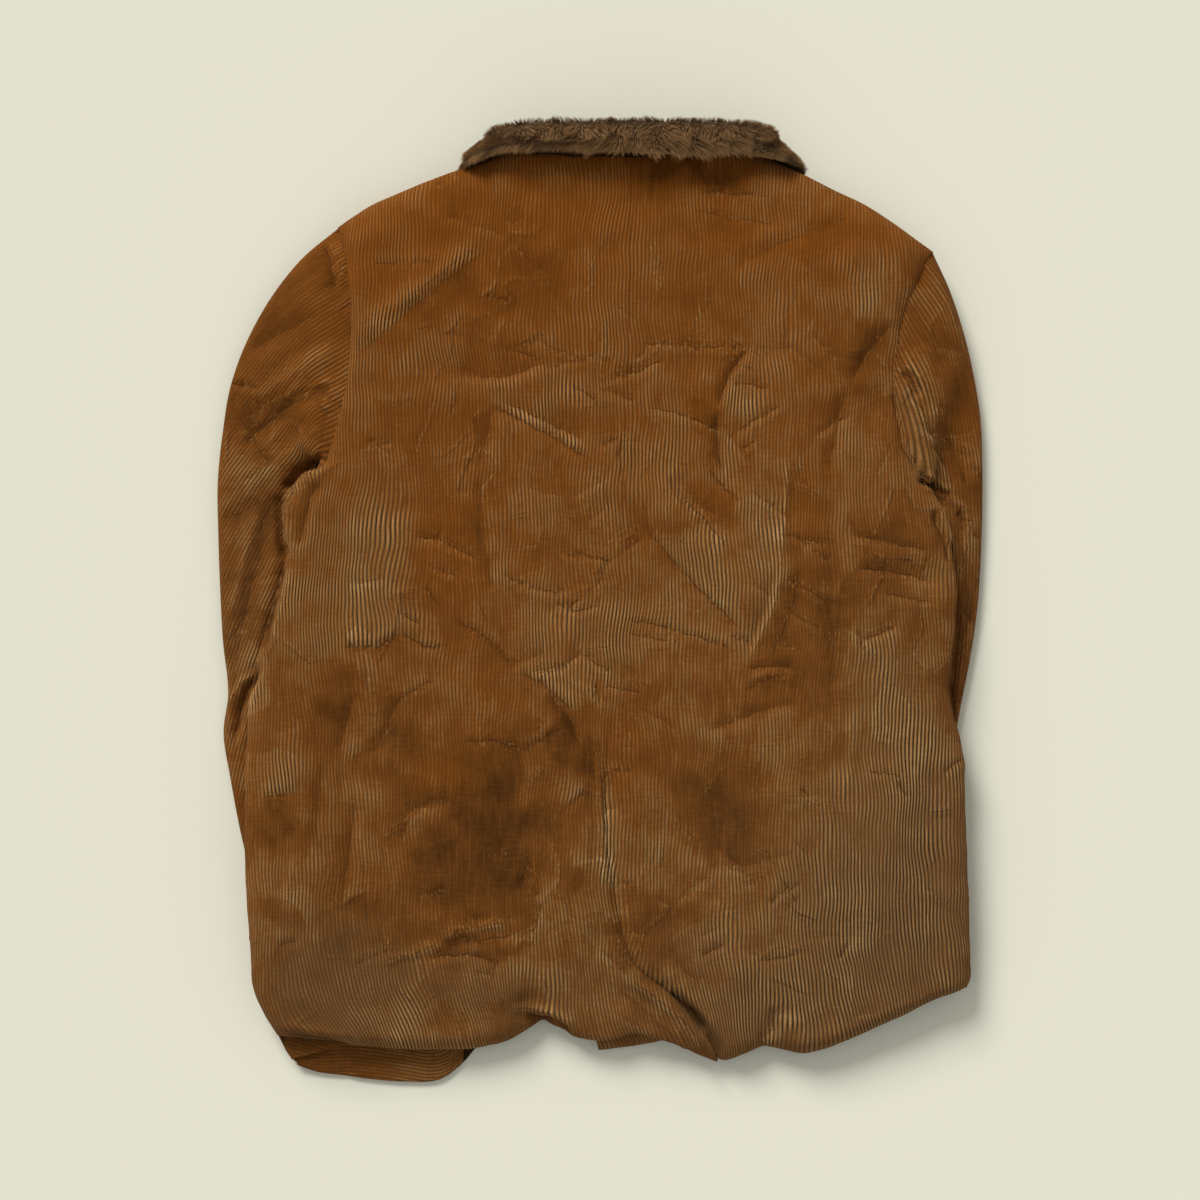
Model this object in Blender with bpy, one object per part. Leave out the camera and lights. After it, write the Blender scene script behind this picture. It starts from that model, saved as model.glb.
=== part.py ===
"""A corduroy jacket with a pile collar, laid face down on a flat surface.

X runs across the body, Y from the hem to the collar and Z up from the surface that it lies on. All lengths
are in metres. Each cut piece is a thin wall: a grid of points on its outer face, and the same grid moved
in by the cloth's thickness. The two halves of the back lie over the two fronts, and the sleeves are folded
down along the sides and under the body.
"""

import math
from collections import namedtuple

import bpy
import numpy as np

# Driving dimensions
CLOTH = 0.0026
BODY_LENGTH = 0.750
NECK_CENTRE_X = 0.0275
SEAM_GAP = 0.0003
BACK_HEIGHT = 0.0345
BACK_HEIGHT_OVER_SLEEVES = 0.0055
BACK_HEIGHT_AT_SHOULDERS = 0.0035
HEM_FALL = 0.0075
SLEEVE_COVER_CLEARANCE = 0.0025
SLEEVE_COVER_OVERLAP = 0.085
SLEEVE_COVER_EASE = 0.050
CUFF_COVER_OVERLAP = 0.055
CUFF_COVER_EASE = 0.040
ARMPIT_COVER_END = 0.160
COLLAR_COVER_HEIGHT = 0.0165
COLLAR_COVER_START = 0.205
COLLAR_COVER_EASE = 0.045
COLLAR_COVER_HALF_WIDTH = 0.205
COLLAR_COVER_SIDE_EASE = 0.040
FRONT_LAP = 0.015
FRONT_LAP_RISE = 0.0033
FRONT_LAP_EASE = 0.014
SIDE_RIM = 0.021
UNDER_RIM = 0.013
HEM_RIM = 0.016
SHOULDER_RIM = 0.030
VENT_DIP_TOP = 0.0050
VENT_DIP_HEM = 0.0125
VENT_SHADOW_WIDTH = 0.016
COLLAR_CLOTH = 0.0024
PILE_DEPTH = 0.0078
PILE_EDGE_DEPTH = 0.0042
COLLAR_FOLD_RADIUS = 0.0052
PILE_GAP = 0.0010
FACING_CLOTH = 0.0020
FOLD_FULLNESS = 2.6
FACING_GAP = 0.0006
SLEEVE_SEAM_GAP = 0.0006
ON_SURFACE = 0.0002
ARMHOLE_LEAN = 60

# Where the back's height changes: the place at which each change begins, and the length over which it grows
SLEEVE_LIFT = (0.08, 0.17)
SHOULDER_LIFT = (0.10, 0.22)
HEM_DROP = (-0.26, 0.13)
VENT_OPENING = (-0.150, 0.026)
VENT_DEEPENING = (-0.24, 0.10)

# How far a fold of the back runs on beyond its line, and how much of the line its ends take to fade, in
# shares of the line's length
FOLD_OVERRUN = 0.15
FOLD_FADE = 0.45

# The share of a rim that is spaced evenly, and the share of the collar's fall at which it has left its fold
RIM_EVEN_SHARE = 0.25
FALL_START = 0.25

# Rows and columns of the grids
PANEL_ROWS = 30
ARMPIT_ROW = 20
VENT_TOP_ROW = 9
HEM_RIM_ROWS = 3
SHOULDER_RIM_ROWS = 4
SIDE_RIM_COLUMNS = 5
BACK_COLUMNS = 22
FRONT_COLUMNS = 16
COLLAR_STATIONS = 28
COLLAR_STEPS = 10
ARMHOLE_STATIONS = 9
CENTRE_FRONT_STATIONS = 20
HEM_CORNER_STEPS = 8
HEM_CORNER_DEPTH_STEPS = 4

EdgeRow = namedtuple("EdgeRow", "x y z lean")
PlanRow = namedtuple("PlanRow", "x y")
PointRow = namedtuple("PointRow", "x y z")
FoldRow = namedtuple("FoldRow", "x0 y0 x1 y1 width height")
RingRow = namedtuple("RingRow", "in_x in_y in_z out_x out_y out_z top bottom bow")
CollarRow = namedtuple("CollarRow", "seam_x seam_y seam_z fold_x fold_y fold_z edge_x edge_y edge_z turn")
HalfCut = namedtuple(
    "HalfCut",
    "name side seam rings shoulder back_neck front_neck back_centre back_hem front_hem "
    "back_height front_height",
)

# The side seams, from the hem to the armpit. lean is the angle at which the cloth leaves the seam:
# 0 is straight up, as where the side rolls over, and 60 is a shallow slope.
LEFT_SIDE_SEAM = (
    EdgeRow(x=-0.2785, y=-0.3810, z=0.0160, lean=0),
    EdgeRow(x=-0.2890, y=-0.3650, z=0.0180, lean=0),
    EdgeRow(x=-0.2980, y=-0.3430, z=0.0205, lean=0),
    EdgeRow(x=-0.3020, y=-0.3000, z=0.0240, lean=0),
    EdgeRow(x=-0.3060, y=-0.2150, z=0.0270, lean=0),
    EdgeRow(x=-0.3050, y=-0.1430, z=0.0285, lean=0),
    EdgeRow(x=-0.2970, y=-0.0650, z=0.0290, lean=0),
    EdgeRow(x=-0.2790, y=0.0010, z=0.0290, lean=0),
    EdgeRow(x=-0.2690, y=0.0400, z=0.0290, lean=0),
    EdgeRow(x=-0.2660, y=0.0780, z=0.0290, lean=0),
    EdgeRow(x=-0.2560, y=0.0960, z=0.0285, lean=0),
    EdgeRow(x=-0.2390, y=0.1080, z=0.0280, lean=0),
)
RIGHT_SIDE_SEAM = (
    EdgeRow(x=0.3178, y=-0.3392, z=0.0160, lean=0),
    EdgeRow(x=0.3203, y=-0.3335, z=0.0180, lean=0),
    EdgeRow(x=0.3200, y=-0.3150, z=0.0220, lean=0),
    EdgeRow(x=0.3180, y=-0.2630, z=0.0255, lean=0),
    EdgeRow(x=0.3155, y=-0.1900, z=0.0265, lean=0),
    EdgeRow(x=0.3110, y=-0.1250, z=0.0280, lean=0),
    EdgeRow(x=0.3020, y=-0.0910, z=0.0290, lean=0),
    EdgeRow(x=0.3045, y=-0.0480, z=0.0290, lean=0),
    EdgeRow(x=0.3079, y=-0.0050, z=0.0290, lean=0),
    EdgeRow(x=0.3040, y=0.0350, z=0.0290, lean=0),
    EdgeRow(x=0.2950, y=0.0740, z=0.0285, lean=0),
    EdgeRow(x=0.2795, y=0.0980, z=0.0280, lean=0),
)

# The shoulder seams, from the armhole to the neck
LEFT_SHOULDER = (
    EdgeRow(x=-0.2260, y=0.3170, z=0.0240, lean=0),
    EdgeRow(x=-0.2107, y=0.3277, z=0.0240, lean=0),
    EdgeRow(x=-0.1849, y=0.3414, z=0.0245, lean=0),
    EdgeRow(x=-0.1591, y=0.3526, z=0.0250, lean=0),
    EdgeRow(x=-0.1333, y=0.3621, z=0.0265, lean=0),
    EdgeRow(x=-0.1075, y=0.3707, z=0.0280, lean=0),
    EdgeRow(x=-0.0800, y=0.3800, z=0.0300, lean=0),
)
RIGHT_SHOULDER = (
    EdgeRow(x=0.2881, y=0.2958, z=0.0240, lean=0),
    EdgeRow(x=0.2795, y=0.3019, z=0.0240, lean=0),
    EdgeRow(x=0.2537, y=0.3208, z=0.0240, lean=0),
    EdgeRow(x=0.2279, y=0.3371, z=0.0245, lean=0),
    EdgeRow(x=0.2021, y=0.3492, z=0.0255, lean=0),
    EdgeRow(x=0.1763, y=0.3621, z=0.0275, lean=0),
    EdgeRow(x=0.1350, y=0.3800, z=0.0300, lean=0),
)

# The neck seams, from the shoulder to the centre
LEFT_BACK_NECK = (
    EdgeRow(x=-0.0800, y=0.3800, z=0.0300, lean=0),
    EdgeRow(x=-0.0600, y=0.3790, z=0.0345, lean=40),
    EdgeRow(x=-0.0200, y=0.3770, z=0.0370, lean=60),
    EdgeRow(x=NECK_CENTRE_X, y=0.3760, z=0.0375, lean=60),
)
RIGHT_BACK_NECK = (
    EdgeRow(x=0.1350, y=0.3800, z=0.0300, lean=0),
    EdgeRow(x=0.1150, y=0.3790, z=0.0345, lean=40),
    EdgeRow(x=0.0750, y=0.3770, z=0.0370, lean=60),
    EdgeRow(x=NECK_CENTRE_X, y=0.3760, z=0.0375, lean=60),
)
LEFT_FRONT_NECK = (
    EdgeRow(x=-0.0800, y=0.3800, z=0.0300, lean=0),
    EdgeRow(x=-0.0660, y=0.3620, z=0.0205, lean=40),
    EdgeRow(x=-0.0450, y=0.3420, z=0.0168, lean=60),
    EdgeRow(x=-0.0080, y=0.3240, z=0.0165, lean=60),
    EdgeRow(x=0.0420, y=0.3180, z=0.0165, lean=60),
)
RIGHT_FRONT_NECK = (
    EdgeRow(x=0.1350, y=0.3800, z=0.0300, lean=0),
    EdgeRow(x=0.1210, y=0.3620, z=0.0205, lean=40),
    EdgeRow(x=0.1000, y=0.3420, z=0.0170, lean=60),
    EdgeRow(x=0.0630, y=0.3240, z=0.0180, lean=60),
    EdgeRow(x=0.0120, y=0.3180, z=0.0197, lean=60),
)

# The hems, from the side seam to the centre
LEFT_BACK_HEM = (
    EdgeRow(x=-0.2785, y=-0.3810, z=0.0160, lean=0),
    EdgeRow(x=-0.2193, y=-0.3896, z=0.0135, lean=0),
    EdgeRow(x=-0.1892, y=-0.3922, z=0.0130, lean=0),
    EdgeRow(x=-0.1376, y=-0.3939, z=0.0125, lean=0),
    EdgeRow(x=-0.1032, y=-0.3922, z=0.0125, lean=0),
    EdgeRow(x=-0.0800, y=-0.3860, z=0.0130, lean=0),
    EdgeRow(x=-0.0645, y=-0.3770, z=0.0135, lean=0),
    EdgeRow(x=-0.0490, y=-0.3700, z=0.0140, lean=0),
    EdgeRow(x=-0.0387, y=-0.3740, z=0.0150, lean=0),
    EdgeRow(x=-0.0200, y=-0.3825, z=0.0180, lean=0),
    EdgeRow(x=0.0086, y=-0.3844, z=0.0220, lean=10),
    EdgeRow(x=0.0387, y=-0.3785, z=0.0235, lean=15),
    EdgeRow(x=0.0568, y=-0.3855, z=0.0220, lean=10),
    EdgeRow(x=0.0714, y=-0.3922, z=0.0180, lean=0),
    EdgeRow(x=0.0860, y=-0.3990, z=0.0160, lean=0),
    EdgeRow(x=0.1015, y=-0.4042, z=0.0160, lean=0),
)
RIGHT_BACK_HEM = (
    EdgeRow(x=0.3178, y=-0.3392, z=0.0160, lean=0),
    EdgeRow(x=0.3139, y=-0.3414, z=0.0150, lean=0),
    EdgeRow(x=0.2924, y=-0.3500, z=0.0140, lean=0),
    EdgeRow(x=0.2580, y=-0.3664, z=0.0130, lean=0),
    EdgeRow(x=0.2236, y=-0.3818, z=0.0120, lean=0),
    EdgeRow(x=0.1935, y=-0.3939, z=0.0120, lean=0),
    EdgeRow(x=0.1720, y=-0.3973, z=0.0120, lean=0),
    EdgeRow(x=0.1591, y=-0.3939, z=0.0125, lean=0),
    EdgeRow(x=0.1462, y=-0.3904, z=0.0125, lean=0),
    EdgeRow(x=0.1247, y=-0.3982, z=0.0115, lean=0),
    EdgeRow(x=0.1060, y=-0.4030, z=0.0090, lean=0),
    EdgeRow(x=0.0910, y=-0.3950, z=0.0075, lean=0),
    EdgeRow(x=0.0680, y=-0.3860, z=0.0070, lean=0),
    EdgeRow(x=0.0292, y=-0.3922, z=0.0065, lean=0),
    EdgeRow(x=-0.0009, y=-0.3947, z=0.0060, lean=0),
)
LEFT_FRONT_HEM = (
    EdgeRow(x=-0.2785, y=-0.3810, z=0.0160, lean=0),
    EdgeRow(x=-0.2665, y=-0.4035, z=0.0050, lean=45),
    EdgeRow(x=-0.2490, y=-0.4120, z=0.0010, lean=60),
    EdgeRow(x=-0.2236, y=-0.4160, z=0.0000, lean=60),
    EdgeRow(x=-0.1980, y=-0.4195, z=0.0000, lean=60),
    EdgeRow(x=-0.1720, y=-0.4215, z=0.0000, lean=60),
    EdgeRow(x=-0.1376, y=-0.4190, z=0.0000, lean=60),
    EdgeRow(x=-0.1180, y=-0.4040, z=0.0000, lean=60),
    EdgeRow(x=-0.1000, y=-0.3820, z=0.0000, lean=60),
    EdgeRow(x=-0.0600, y=-0.3640, z=0.0000, lean=60),
    EdgeRow(x=0.0320, y=-0.3600, z=0.0000, lean=60),
)
RIGHT_FRONT_HEM = (
    EdgeRow(x=0.3178, y=-0.3392, z=0.0160, lean=0),
    EdgeRow(x=0.3080, y=-0.3400, z=0.0050, lean=45),
    EdgeRow(x=0.2800, y=-0.3500, z=0.0000, lean=60),
    EdgeRow(x=0.2000, y=-0.3720, z=0.0000, lean=60),
    EdgeRow(x=0.1000, y=-0.3780, z=0.0000, lean=60),
    EdgeRow(x=0.0020, y=-0.3640, z=0.0032, lean=60),
)

# The vent's free edges, from the hem to the vent's top, and the centre seam from there to the neck
VENT_FLAP_EDGE = (
    PlanRow(x=0.1015, y=-0.4042),
    PlanRow(x=0.0980, y=-0.3922),
    PlanRow(x=0.0877, y=-0.3758),
    PlanRow(x=0.0774, y=-0.3629),
    PlanRow(x=0.0654, y=-0.3492),
    PlanRow(x=0.0516, y=-0.3371),
    PlanRow(x=0.0387, y=-0.3277),
    PlanRow(x=0.0292, y=-0.3175),
    PlanRow(x=0.0215, y=-0.3020),
    PlanRow(x=0.0172, y=-0.2850),
    PlanRow(x=0.0120, y=-0.2580),
    PlanRow(x=0.0069, y=-0.2240),
    PlanRow(x=0.0026, y=-0.1770),
)
VENT_UNDERLAP_EDGE = (
    PlanRow(x=-0.0009, y=-0.3947),
    PlanRow(x=-0.0086, y=-0.3578),
    PlanRow(x=-0.0146, y=-0.3148),
    PlanRow(x=-0.0172, y=-0.2718),
    PlanRow(x=-0.0138, y=-0.2288),
    PlanRow(x=-0.0055, y=-0.2000),
    PlanRow(x=0.0026, y=-0.1770),
)
CENTRE_SEAM = (
    PlanRow(x=0.0026, y=-0.1770),
    PlanRow(x=0.0065, y=-0.1428),
    PlanRow(x=0.0115, y=-0.0912),
    PlanRow(x=0.0170, y=-0.0052),
    PlanRow(x=0.0224, y=0.1238),
    PlanRow(x=0.0258, y=0.2528),
    PlanRow(x=NECK_CENTRE_X, y=0.3760),
)
CENTRE_FRONT = (
    PlanRow(x=0.0170, y=-0.3640),
    PlanRow(x=0.0170, y=-0.1000),
    PlanRow(x=0.0230, y=0.1500),
    PlanRow(x=0.0270, y=0.3180),
)

# The largest folds of the back: the line that each follows, its half width and its height, less than
# nothing for a trough
BACK_FOLDS = (
    FoldRow(x0=-0.206, y0=0.218, x1=-0.103, y1=0.304, width=0.016, height=0.0030),
    FoldRow(x0=-0.146, y0=0.201, x1=-0.060, y1=0.188, width=0.015, height=-0.0032),
    FoldRow(x0=-0.086, y0=0.167, x1=0.000, y1=0.132, width=0.012, height=-0.0026),
    FoldRow(x0=0.017, y0=0.081, x1=0.120, y1=-0.040, width=0.014, height=-0.0030),
    FoldRow(x0=0.040, y0=0.098, x1=0.137, y1=-0.015, width=0.013, height=0.0026),
    FoldRow(x0=0.159, y0=0.013, x1=0.125, y1=-0.061, width=0.015, height=-0.0038),
    FoldRow(x0=0.262, y0=0.236, x1=0.224, y1=0.132, width=0.018, height=-0.0045),
    FoldRow(x0=0.292, y0=0.225, x1=0.236, y1=0.225, width=0.016, height=0.0022),
    FoldRow(x0=0.103, y0=0.150, x1=0.116, y1=0.081, width=0.014, height=-0.0028),
    FoldRow(x0=0.140, y0=0.218, x1=0.172, y1=0.081, width=0.020, height=0.0034),
    FoldRow(x0=-0.232, y0=0.098, x1=-0.155, y1=-0.040, width=0.020, height=0.0032),
    FoldRow(x0=-0.190, y0=0.098, x1=-0.120, y1=-0.050, width=0.018, height=-0.0030),
    FoldRow(x0=-0.275, y0=-0.040, x1=-0.240, y1=-0.340, width=0.022, height=0.0036),
    FoldRow(x0=-0.225, y0=-0.060, x1=-0.205, y1=-0.330, width=0.020, height=-0.0026),
    FoldRow(x0=-0.017, y0=-0.030, x1=0.026, y1=-0.110, width=0.014, height=-0.0026),
    FoldRow(x0=-0.080, y0=-0.090, x1=-0.010, y1=-0.160, width=0.018, height=0.0030),
    FoldRow(x0=-0.010, y0=-0.190, x1=-0.030, y1=-0.330, width=0.018, height=0.0036),
    FoldRow(x0=0.040, y0=-0.190, x1=0.075, y1=-0.320, width=0.020, height=-0.0034),
    FoldRow(x0=0.150, y0=-0.386, x1=0.128, y1=-0.330, width=0.014, height=-0.0040),
    FoldRow(x0=-0.052, y0=-0.372, x1=-0.070, y1=-0.345, width=0.012, height=-0.0045),
    FoldRow(x0=-0.070, y0=-0.345, x1=-0.150, y1=-0.330, width=0.020, height=0.0030),
    FoldRow(x0=0.255, y0=0.030, x1=0.300, y1=0.010, width=0.010, height=-0.0030),
    FoldRow(x0=0.262, y0=0.000, x1=0.300, y1=-0.020, width=0.010, height=0.0026),
    FoldRow(x0=0.265, y0=-0.110, x1=0.235, y1=-0.330, width=0.024, height=0.0030),
)

# Each sleeve's rings, from the armhole to the cuff: the inner and the outer fold with their heights, the
# heights of the upper and the lower layer, and how far the ring bows sideways
LEFT_RINGS = (
    RingRow(-0.2390, 0.1080, 0.0280, -0.2260, 0.3170, 0.0240, 0.0365, 0.0060, 0.0175),
    RingRow(-0.2430, 0.1030, 0.0220, -0.2620, 0.2870, 0.0130, 0.0350, 0.0010, 0.0040),
    RingRow(-0.2430, 0.0970, 0.0160, -0.2880, 0.2530, 0.0110, 0.0300, 0.0000, 0.0000),
    RingRow(-0.2360, 0.0880, 0.0100, -0.3070, 0.2180, 0.0100, 0.0225, 0.0000, 0.0000),
    RingRow(-0.2200, 0.0750, 0.0085, -0.3200, 0.1820, 0.0095, 0.0180, 0.0000, 0.0000),
    RingRow(-0.2000, 0.0580, 0.0085, -0.3270, 0.1420, 0.0090, 0.0172, 0.0000, 0.0000),
    RingRow(-0.1820, 0.0350, 0.0085, -0.3315, 0.0980, 0.0085, 0.0170, 0.0000, 0.0000),
    RingRow(-0.1680, 0.0080, 0.0085, -0.3310, 0.0520, 0.0085, 0.0170, 0.0000, 0.0000),
    RingRow(-0.1590, -0.0230, 0.0085, -0.3295, 0.0060, 0.0085, 0.0170, 0.0000, 0.0000),
    RingRow(-0.1540, -0.0570, 0.0085, -0.3270, -0.0400, 0.0085, 0.0170, 0.0000, 0.0000),
    RingRow(-0.1530, -0.0920, 0.0085, -0.3225, -0.0850, 0.0085, 0.0170, 0.0000, 0.0000),
    RingRow(-0.1550, -0.1280, 0.0083, -0.3265, -0.1200, 0.0083, 0.0166, 0.0000, 0.0000),
    RingRow(-0.1590, -0.1640, 0.0078, -0.3205, -0.1600, 0.0078, 0.0156, 0.0000, 0.0000),
    RingRow(-0.1640, -0.2050, 0.0071, -0.3125, -0.2030, 0.0071, 0.0142, 0.0000, 0.0000),
    RingRow(-0.1690, -0.2480, 0.0064, -0.3025, -0.2470, 0.0064, 0.0128, 0.0000, 0.0000),
    RingRow(-0.1750, -0.2880, 0.0057, -0.2940, -0.2900, 0.0057, 0.0114, 0.0000, 0.0000),
)
RIGHT_RINGS = (
    RingRow(0.2795, 0.0980, 0.0280, 0.2881, 0.2958, 0.0240, 0.0365, 0.0060, -0.0300),
    RingRow(0.2850, 0.0940, 0.0220, 0.3030, 0.2640, 0.0130, 0.0350, 0.0010, -0.0120),
    RingRow(0.2860, 0.0880, 0.0150, 0.3155, 0.2270, 0.0110, 0.0290, 0.0000, -0.0050),
    RingRow(0.2770, 0.0790, 0.0095, 0.3240, 0.1920, 0.0100, 0.0205, 0.0000, 0.0000),
    RingRow(0.2600, 0.0660, 0.0085, 0.3300, 0.1550, 0.0095, 0.0175, 0.0000, 0.0000),
    RingRow(0.2380, 0.0500, 0.0085, 0.3320, 0.1150, 0.0090, 0.0170, 0.0000, 0.0000),
    RingRow(0.2150, 0.0280, 0.0085, 0.3320, 0.0720, 0.0085, 0.0170, 0.0000, 0.0000),
    RingRow(0.1950, 0.0000, 0.0085, 0.3305, 0.0280, 0.0085, 0.0170, 0.0000, 0.0000),
    RingRow(0.1790, -0.0320, 0.0085, 0.3275, -0.0140, 0.0085, 0.0170, 0.0000, 0.0000),
    RingRow(0.1680, -0.0660, 0.0085, 0.3215, -0.0550, 0.0085, 0.0170, 0.0000, 0.0000),
    RingRow(0.1600, -0.1020, 0.0084, 0.3135, -0.0960, 0.0084, 0.0168, 0.0000, 0.0000),
    RingRow(0.1550, -0.1420, 0.0080, 0.3065, -0.1380, 0.0080, 0.0160, 0.0000, 0.0000),
    RingRow(0.1510, -0.1840, 0.0074, 0.3005, -0.1820, 0.0074, 0.0148, 0.0000, 0.0000),
    RingRow(0.1480, -0.2230, 0.0068, 0.2945, -0.2220, 0.0068, 0.0136, 0.0000, 0.0000),
    RingRow(0.1450, -0.2600, 0.0062, 0.2885, -0.2610, 0.0062, 0.0124, 0.0000, 0.0000),
    RingRow(0.1430, -0.2960, 0.0057, 0.2820, -0.2980, 0.0057, 0.0114, 0.0000, 0.0000),
)

# The collar, from its left end at the centre front, round the back of the neck, to its right end: the neck
# seam, the fold between stand and fall, and the fall's free edge. turn is the way the garment's outside faces
# there, in degrees about the wearer's height: 0 is up and 180 down on the surface.
COLLAR_ROWS = (
    CollarRow(0.0200, 0.3205, 0.0178, 0.0180, 0.3380, 0.0205, -0.0100, 0.2620, 0.0100, -180),
    CollarRow(-0.0080, 0.3274, 0.0178, -0.0160, 0.3455, 0.0205, -0.0480, 0.2820, 0.0100, -180),
    CollarRow(-0.0450, 0.3438, 0.0180, -0.0560, 0.3635, 0.0210, -0.0940, 0.3160, 0.0100, -170),
    CollarRow(-0.0665, 0.3645, 0.0218, -0.0780, 0.3840, 0.0235, -0.1130, 0.3500, 0.0088, -140),
    CollarRow(-0.0760, 0.3765, 0.0260, -0.0860, 0.3950, 0.0290, -0.1165, 0.3700, 0.0210, -105),
    CollarRow(-0.0770, 0.3825, 0.0300, -0.0845, 0.3965, 0.0370, -0.1105, 0.3725, 0.0385, -70),
    CollarRow(-0.0620, 0.3815, 0.0335, -0.0640, 0.4000, 0.0460, -0.0900, 0.3795, 0.0485, -25),
    CollarRow(-0.0200, 0.3785, 0.0355, -0.0200, 0.4010, 0.0500, -0.0340, 0.3860, 0.0540, 0),
    CollarRow(0.0275, 0.3775, 0.0360, 0.0275, 0.4012, 0.0510, 0.0275, 0.3820, 0.0550, 0),
    CollarRow(0.0750, 0.3785, 0.0355, 0.0750, 0.4010, 0.0500, 0.0850, 0.3780, 0.0540, 0),
    CollarRow(0.1160, 0.3815, 0.0335, 0.1185, 0.4000, 0.0460, 0.1300, 0.3790, 0.0490, 25),
    CollarRow(0.1320, 0.3825, 0.0300, 0.1400, 0.3970, 0.0370, 0.1620, 0.3705, 0.0385, 70),
    CollarRow(0.1310, 0.3765, 0.0260, 0.1415, 0.3920, 0.0290, 0.1710, 0.3680, 0.0215, 105),
    CollarRow(0.1218, 0.3645, 0.0218, 0.1330, 0.3830, 0.0235, 0.1700, 0.3500, 0.0088, 140),
    CollarRow(0.1000, 0.3438, 0.0185, 0.1110, 0.3635, 0.0210, 0.1490, 0.3160, 0.0100, 170),
    CollarRow(0.0630, 0.3258, 0.0195, 0.0710, 0.3455, 0.0210, 0.1030, 0.2820, 0.0100, 180),
    CollarRow(0.0340, 0.3210, 0.0212, 0.0360, 0.3385, 0.0215, 0.0640, 0.2620, 0.0100, 180),
)

# The shares of the left front's hem that its facing covers
FACING_SHARES = (0.105, 0.505)
FACING_INSET = 0.0020
FACING_DEPTH = 0.0300
FACING_STEPS = 14
FACING_DEPTH_STEPS = 4

# The turned-in corner of the left hem: its edge along the side seam, and its tip along the hem
HEM_CORNER_SIDE = (
    PointRow(x=-0.2740, y=-0.3830, z=0.0125),
    PointRow(x=-0.2645, y=-0.4020, z=0.0118),
)
HEM_CORNER_TIP = (
    PointRow(x=-0.2130, y=-0.3840, z=0.0076),
    PointRow(x=-0.2140, y=-0.3890, z=0.0076),
)
HEM_CORNER_BULGE = 0.0010

# Colours and roughness of the materials
CORDUROY = {"colour": (0.22, 0.10, 0.025, 1.0), "roughness": 0.9}
CORDUROY_INSIDE = {"colour": (0.10, 0.045, 0.015, 1.0), "roughness": 0.9}
PILE = {"colour": (0.11, 0.07, 0.04, 1.0), "roughness": 1.0}


def plan_shares(rows):
    """Each row's share of the line's length in plan."""
    points = np.array(rows, float)
    steps = np.linalg.norm(np.diff(points[:, :2], axis=0), axis=1)
    return np.concatenate([[0.0], np.cumsum(steps)]) / steps.sum()


def spline(rows):
    """A smooth line through the rows, as a function of the share of its length in plan."""
    points = np.array(rows, float)
    knots = plan_shares(rows)
    slopes = np.gradient(points, knots, axis=0)

    def at(share):
        share = np.clip(np.asarray(share, float), 0.0, 1.0)
        low = np.clip(np.searchsorted(knots, share, side="right") - 1, 0, len(knots) - 2)
        span = (knots[low + 1] - knots[low])[..., None]
        f = (share - knots[low])[..., None] / span
        start = (1 + 2 * f) * (1 - f) ** 2 * points[low] + f * (1 - f) ** 2 * span * slopes[low]
        end = f**2 * (3 - 2 * f) * points[low + 1] + f**2 * (f - 1) * span * slopes[low + 1]
        return start + end

    return at


def joined(first, second, at_share):
    """Two lines end to end as one, the first up to at_share."""

    def at(share):
        share = np.asarray(share, float)[..., None]
        before = first(np.clip(share[..., 0] / at_share, 0, 1))
        after = second(np.clip((share[..., 0] - at_share) / (1 - at_share), 0, 1))
        return np.where(share < at_share, before, after)

    return at


def smooth_step(value):
    value = np.clip(value, 0.0, 1.0)
    return value * value * (3 - 2 * value)


def grown(distance, change):
    """The grown share of a change that begins at one place and takes a length to grow."""
    start, length = change
    return smooth_step((distance - start) / length)


def unit(vectors):
    return vectors / np.linalg.norm(vectors, axis=-1, keepdims=True)


def fold_heights(x, y, folds):
    """The sum of soft ridges and troughs, each fading towards its ends."""
    total = np.zeros_like(x)
    for fold in folds:
        run = np.array([fold.x1 - fold.x0, fold.y1 - fold.y0])
        length = np.hypot(*run)
        along = ((x - fold.x0) * run[0] + (y - fold.y0) * run[1]) / length**2
        across = ((x - fold.x0) * run[1] - (y - fold.y0) * run[0]) / length
        start = smooth_step((along + FOLD_OVERRUN) / FOLD_FADE)
        ends = start * smooth_step((1 + FOLD_OVERRUN - along) / FOLD_FADE)
        total += fold.height * ends * np.exp(-((across / fold.width) ** 2))
    return total


def back_height(x, y):
    """The height of the back's outer face away from its edges."""
    over_sleeves = BACK_HEIGHT_OVER_SLEEVES * grown(np.abs(x), SLEEVE_LIFT)
    shoulders = BACK_HEIGHT_AT_SHOULDERS * grown(y, SHOULDER_LIFT)
    hem = HEM_FALL * grown(-y, (-HEM_DROP[0], HEM_DROP[1]))
    return BACK_HEIGHT + over_sleeves + shoulders - hem + fold_heights(x, y, BACK_FOLDS)


def flap_edge_distance(x, y):
    """How far a point lies to the right of the vent flap's edge, and above it that of the centre seam."""
    line = np.array(VENT_FLAP_EDGE + CENTRE_SEAM[1:], float)
    return x - np.interp(y, line[:, 1], line[:, 0])


def right_back_height(x, y):
    """The right half dips under the vent flap of the left half."""
    open_vent = grown(-y, (-VENT_OPENING[0], VENT_OPENING[1]))
    to_hem = grown(-y, (-VENT_DEEPENING[0], VENT_DEEPENING[1]))
    depth = open_vent * (VENT_DIP_TOP + (VENT_DIP_HEM - VENT_DIP_TOP) * to_hem)
    under_flap = smooth_step((VENT_SHADOW_WIDTH - flap_edge_distance(x, y)) / VENT_SHADOW_WIDTH)
    return back_height(x, y) - depth * under_flap


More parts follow.
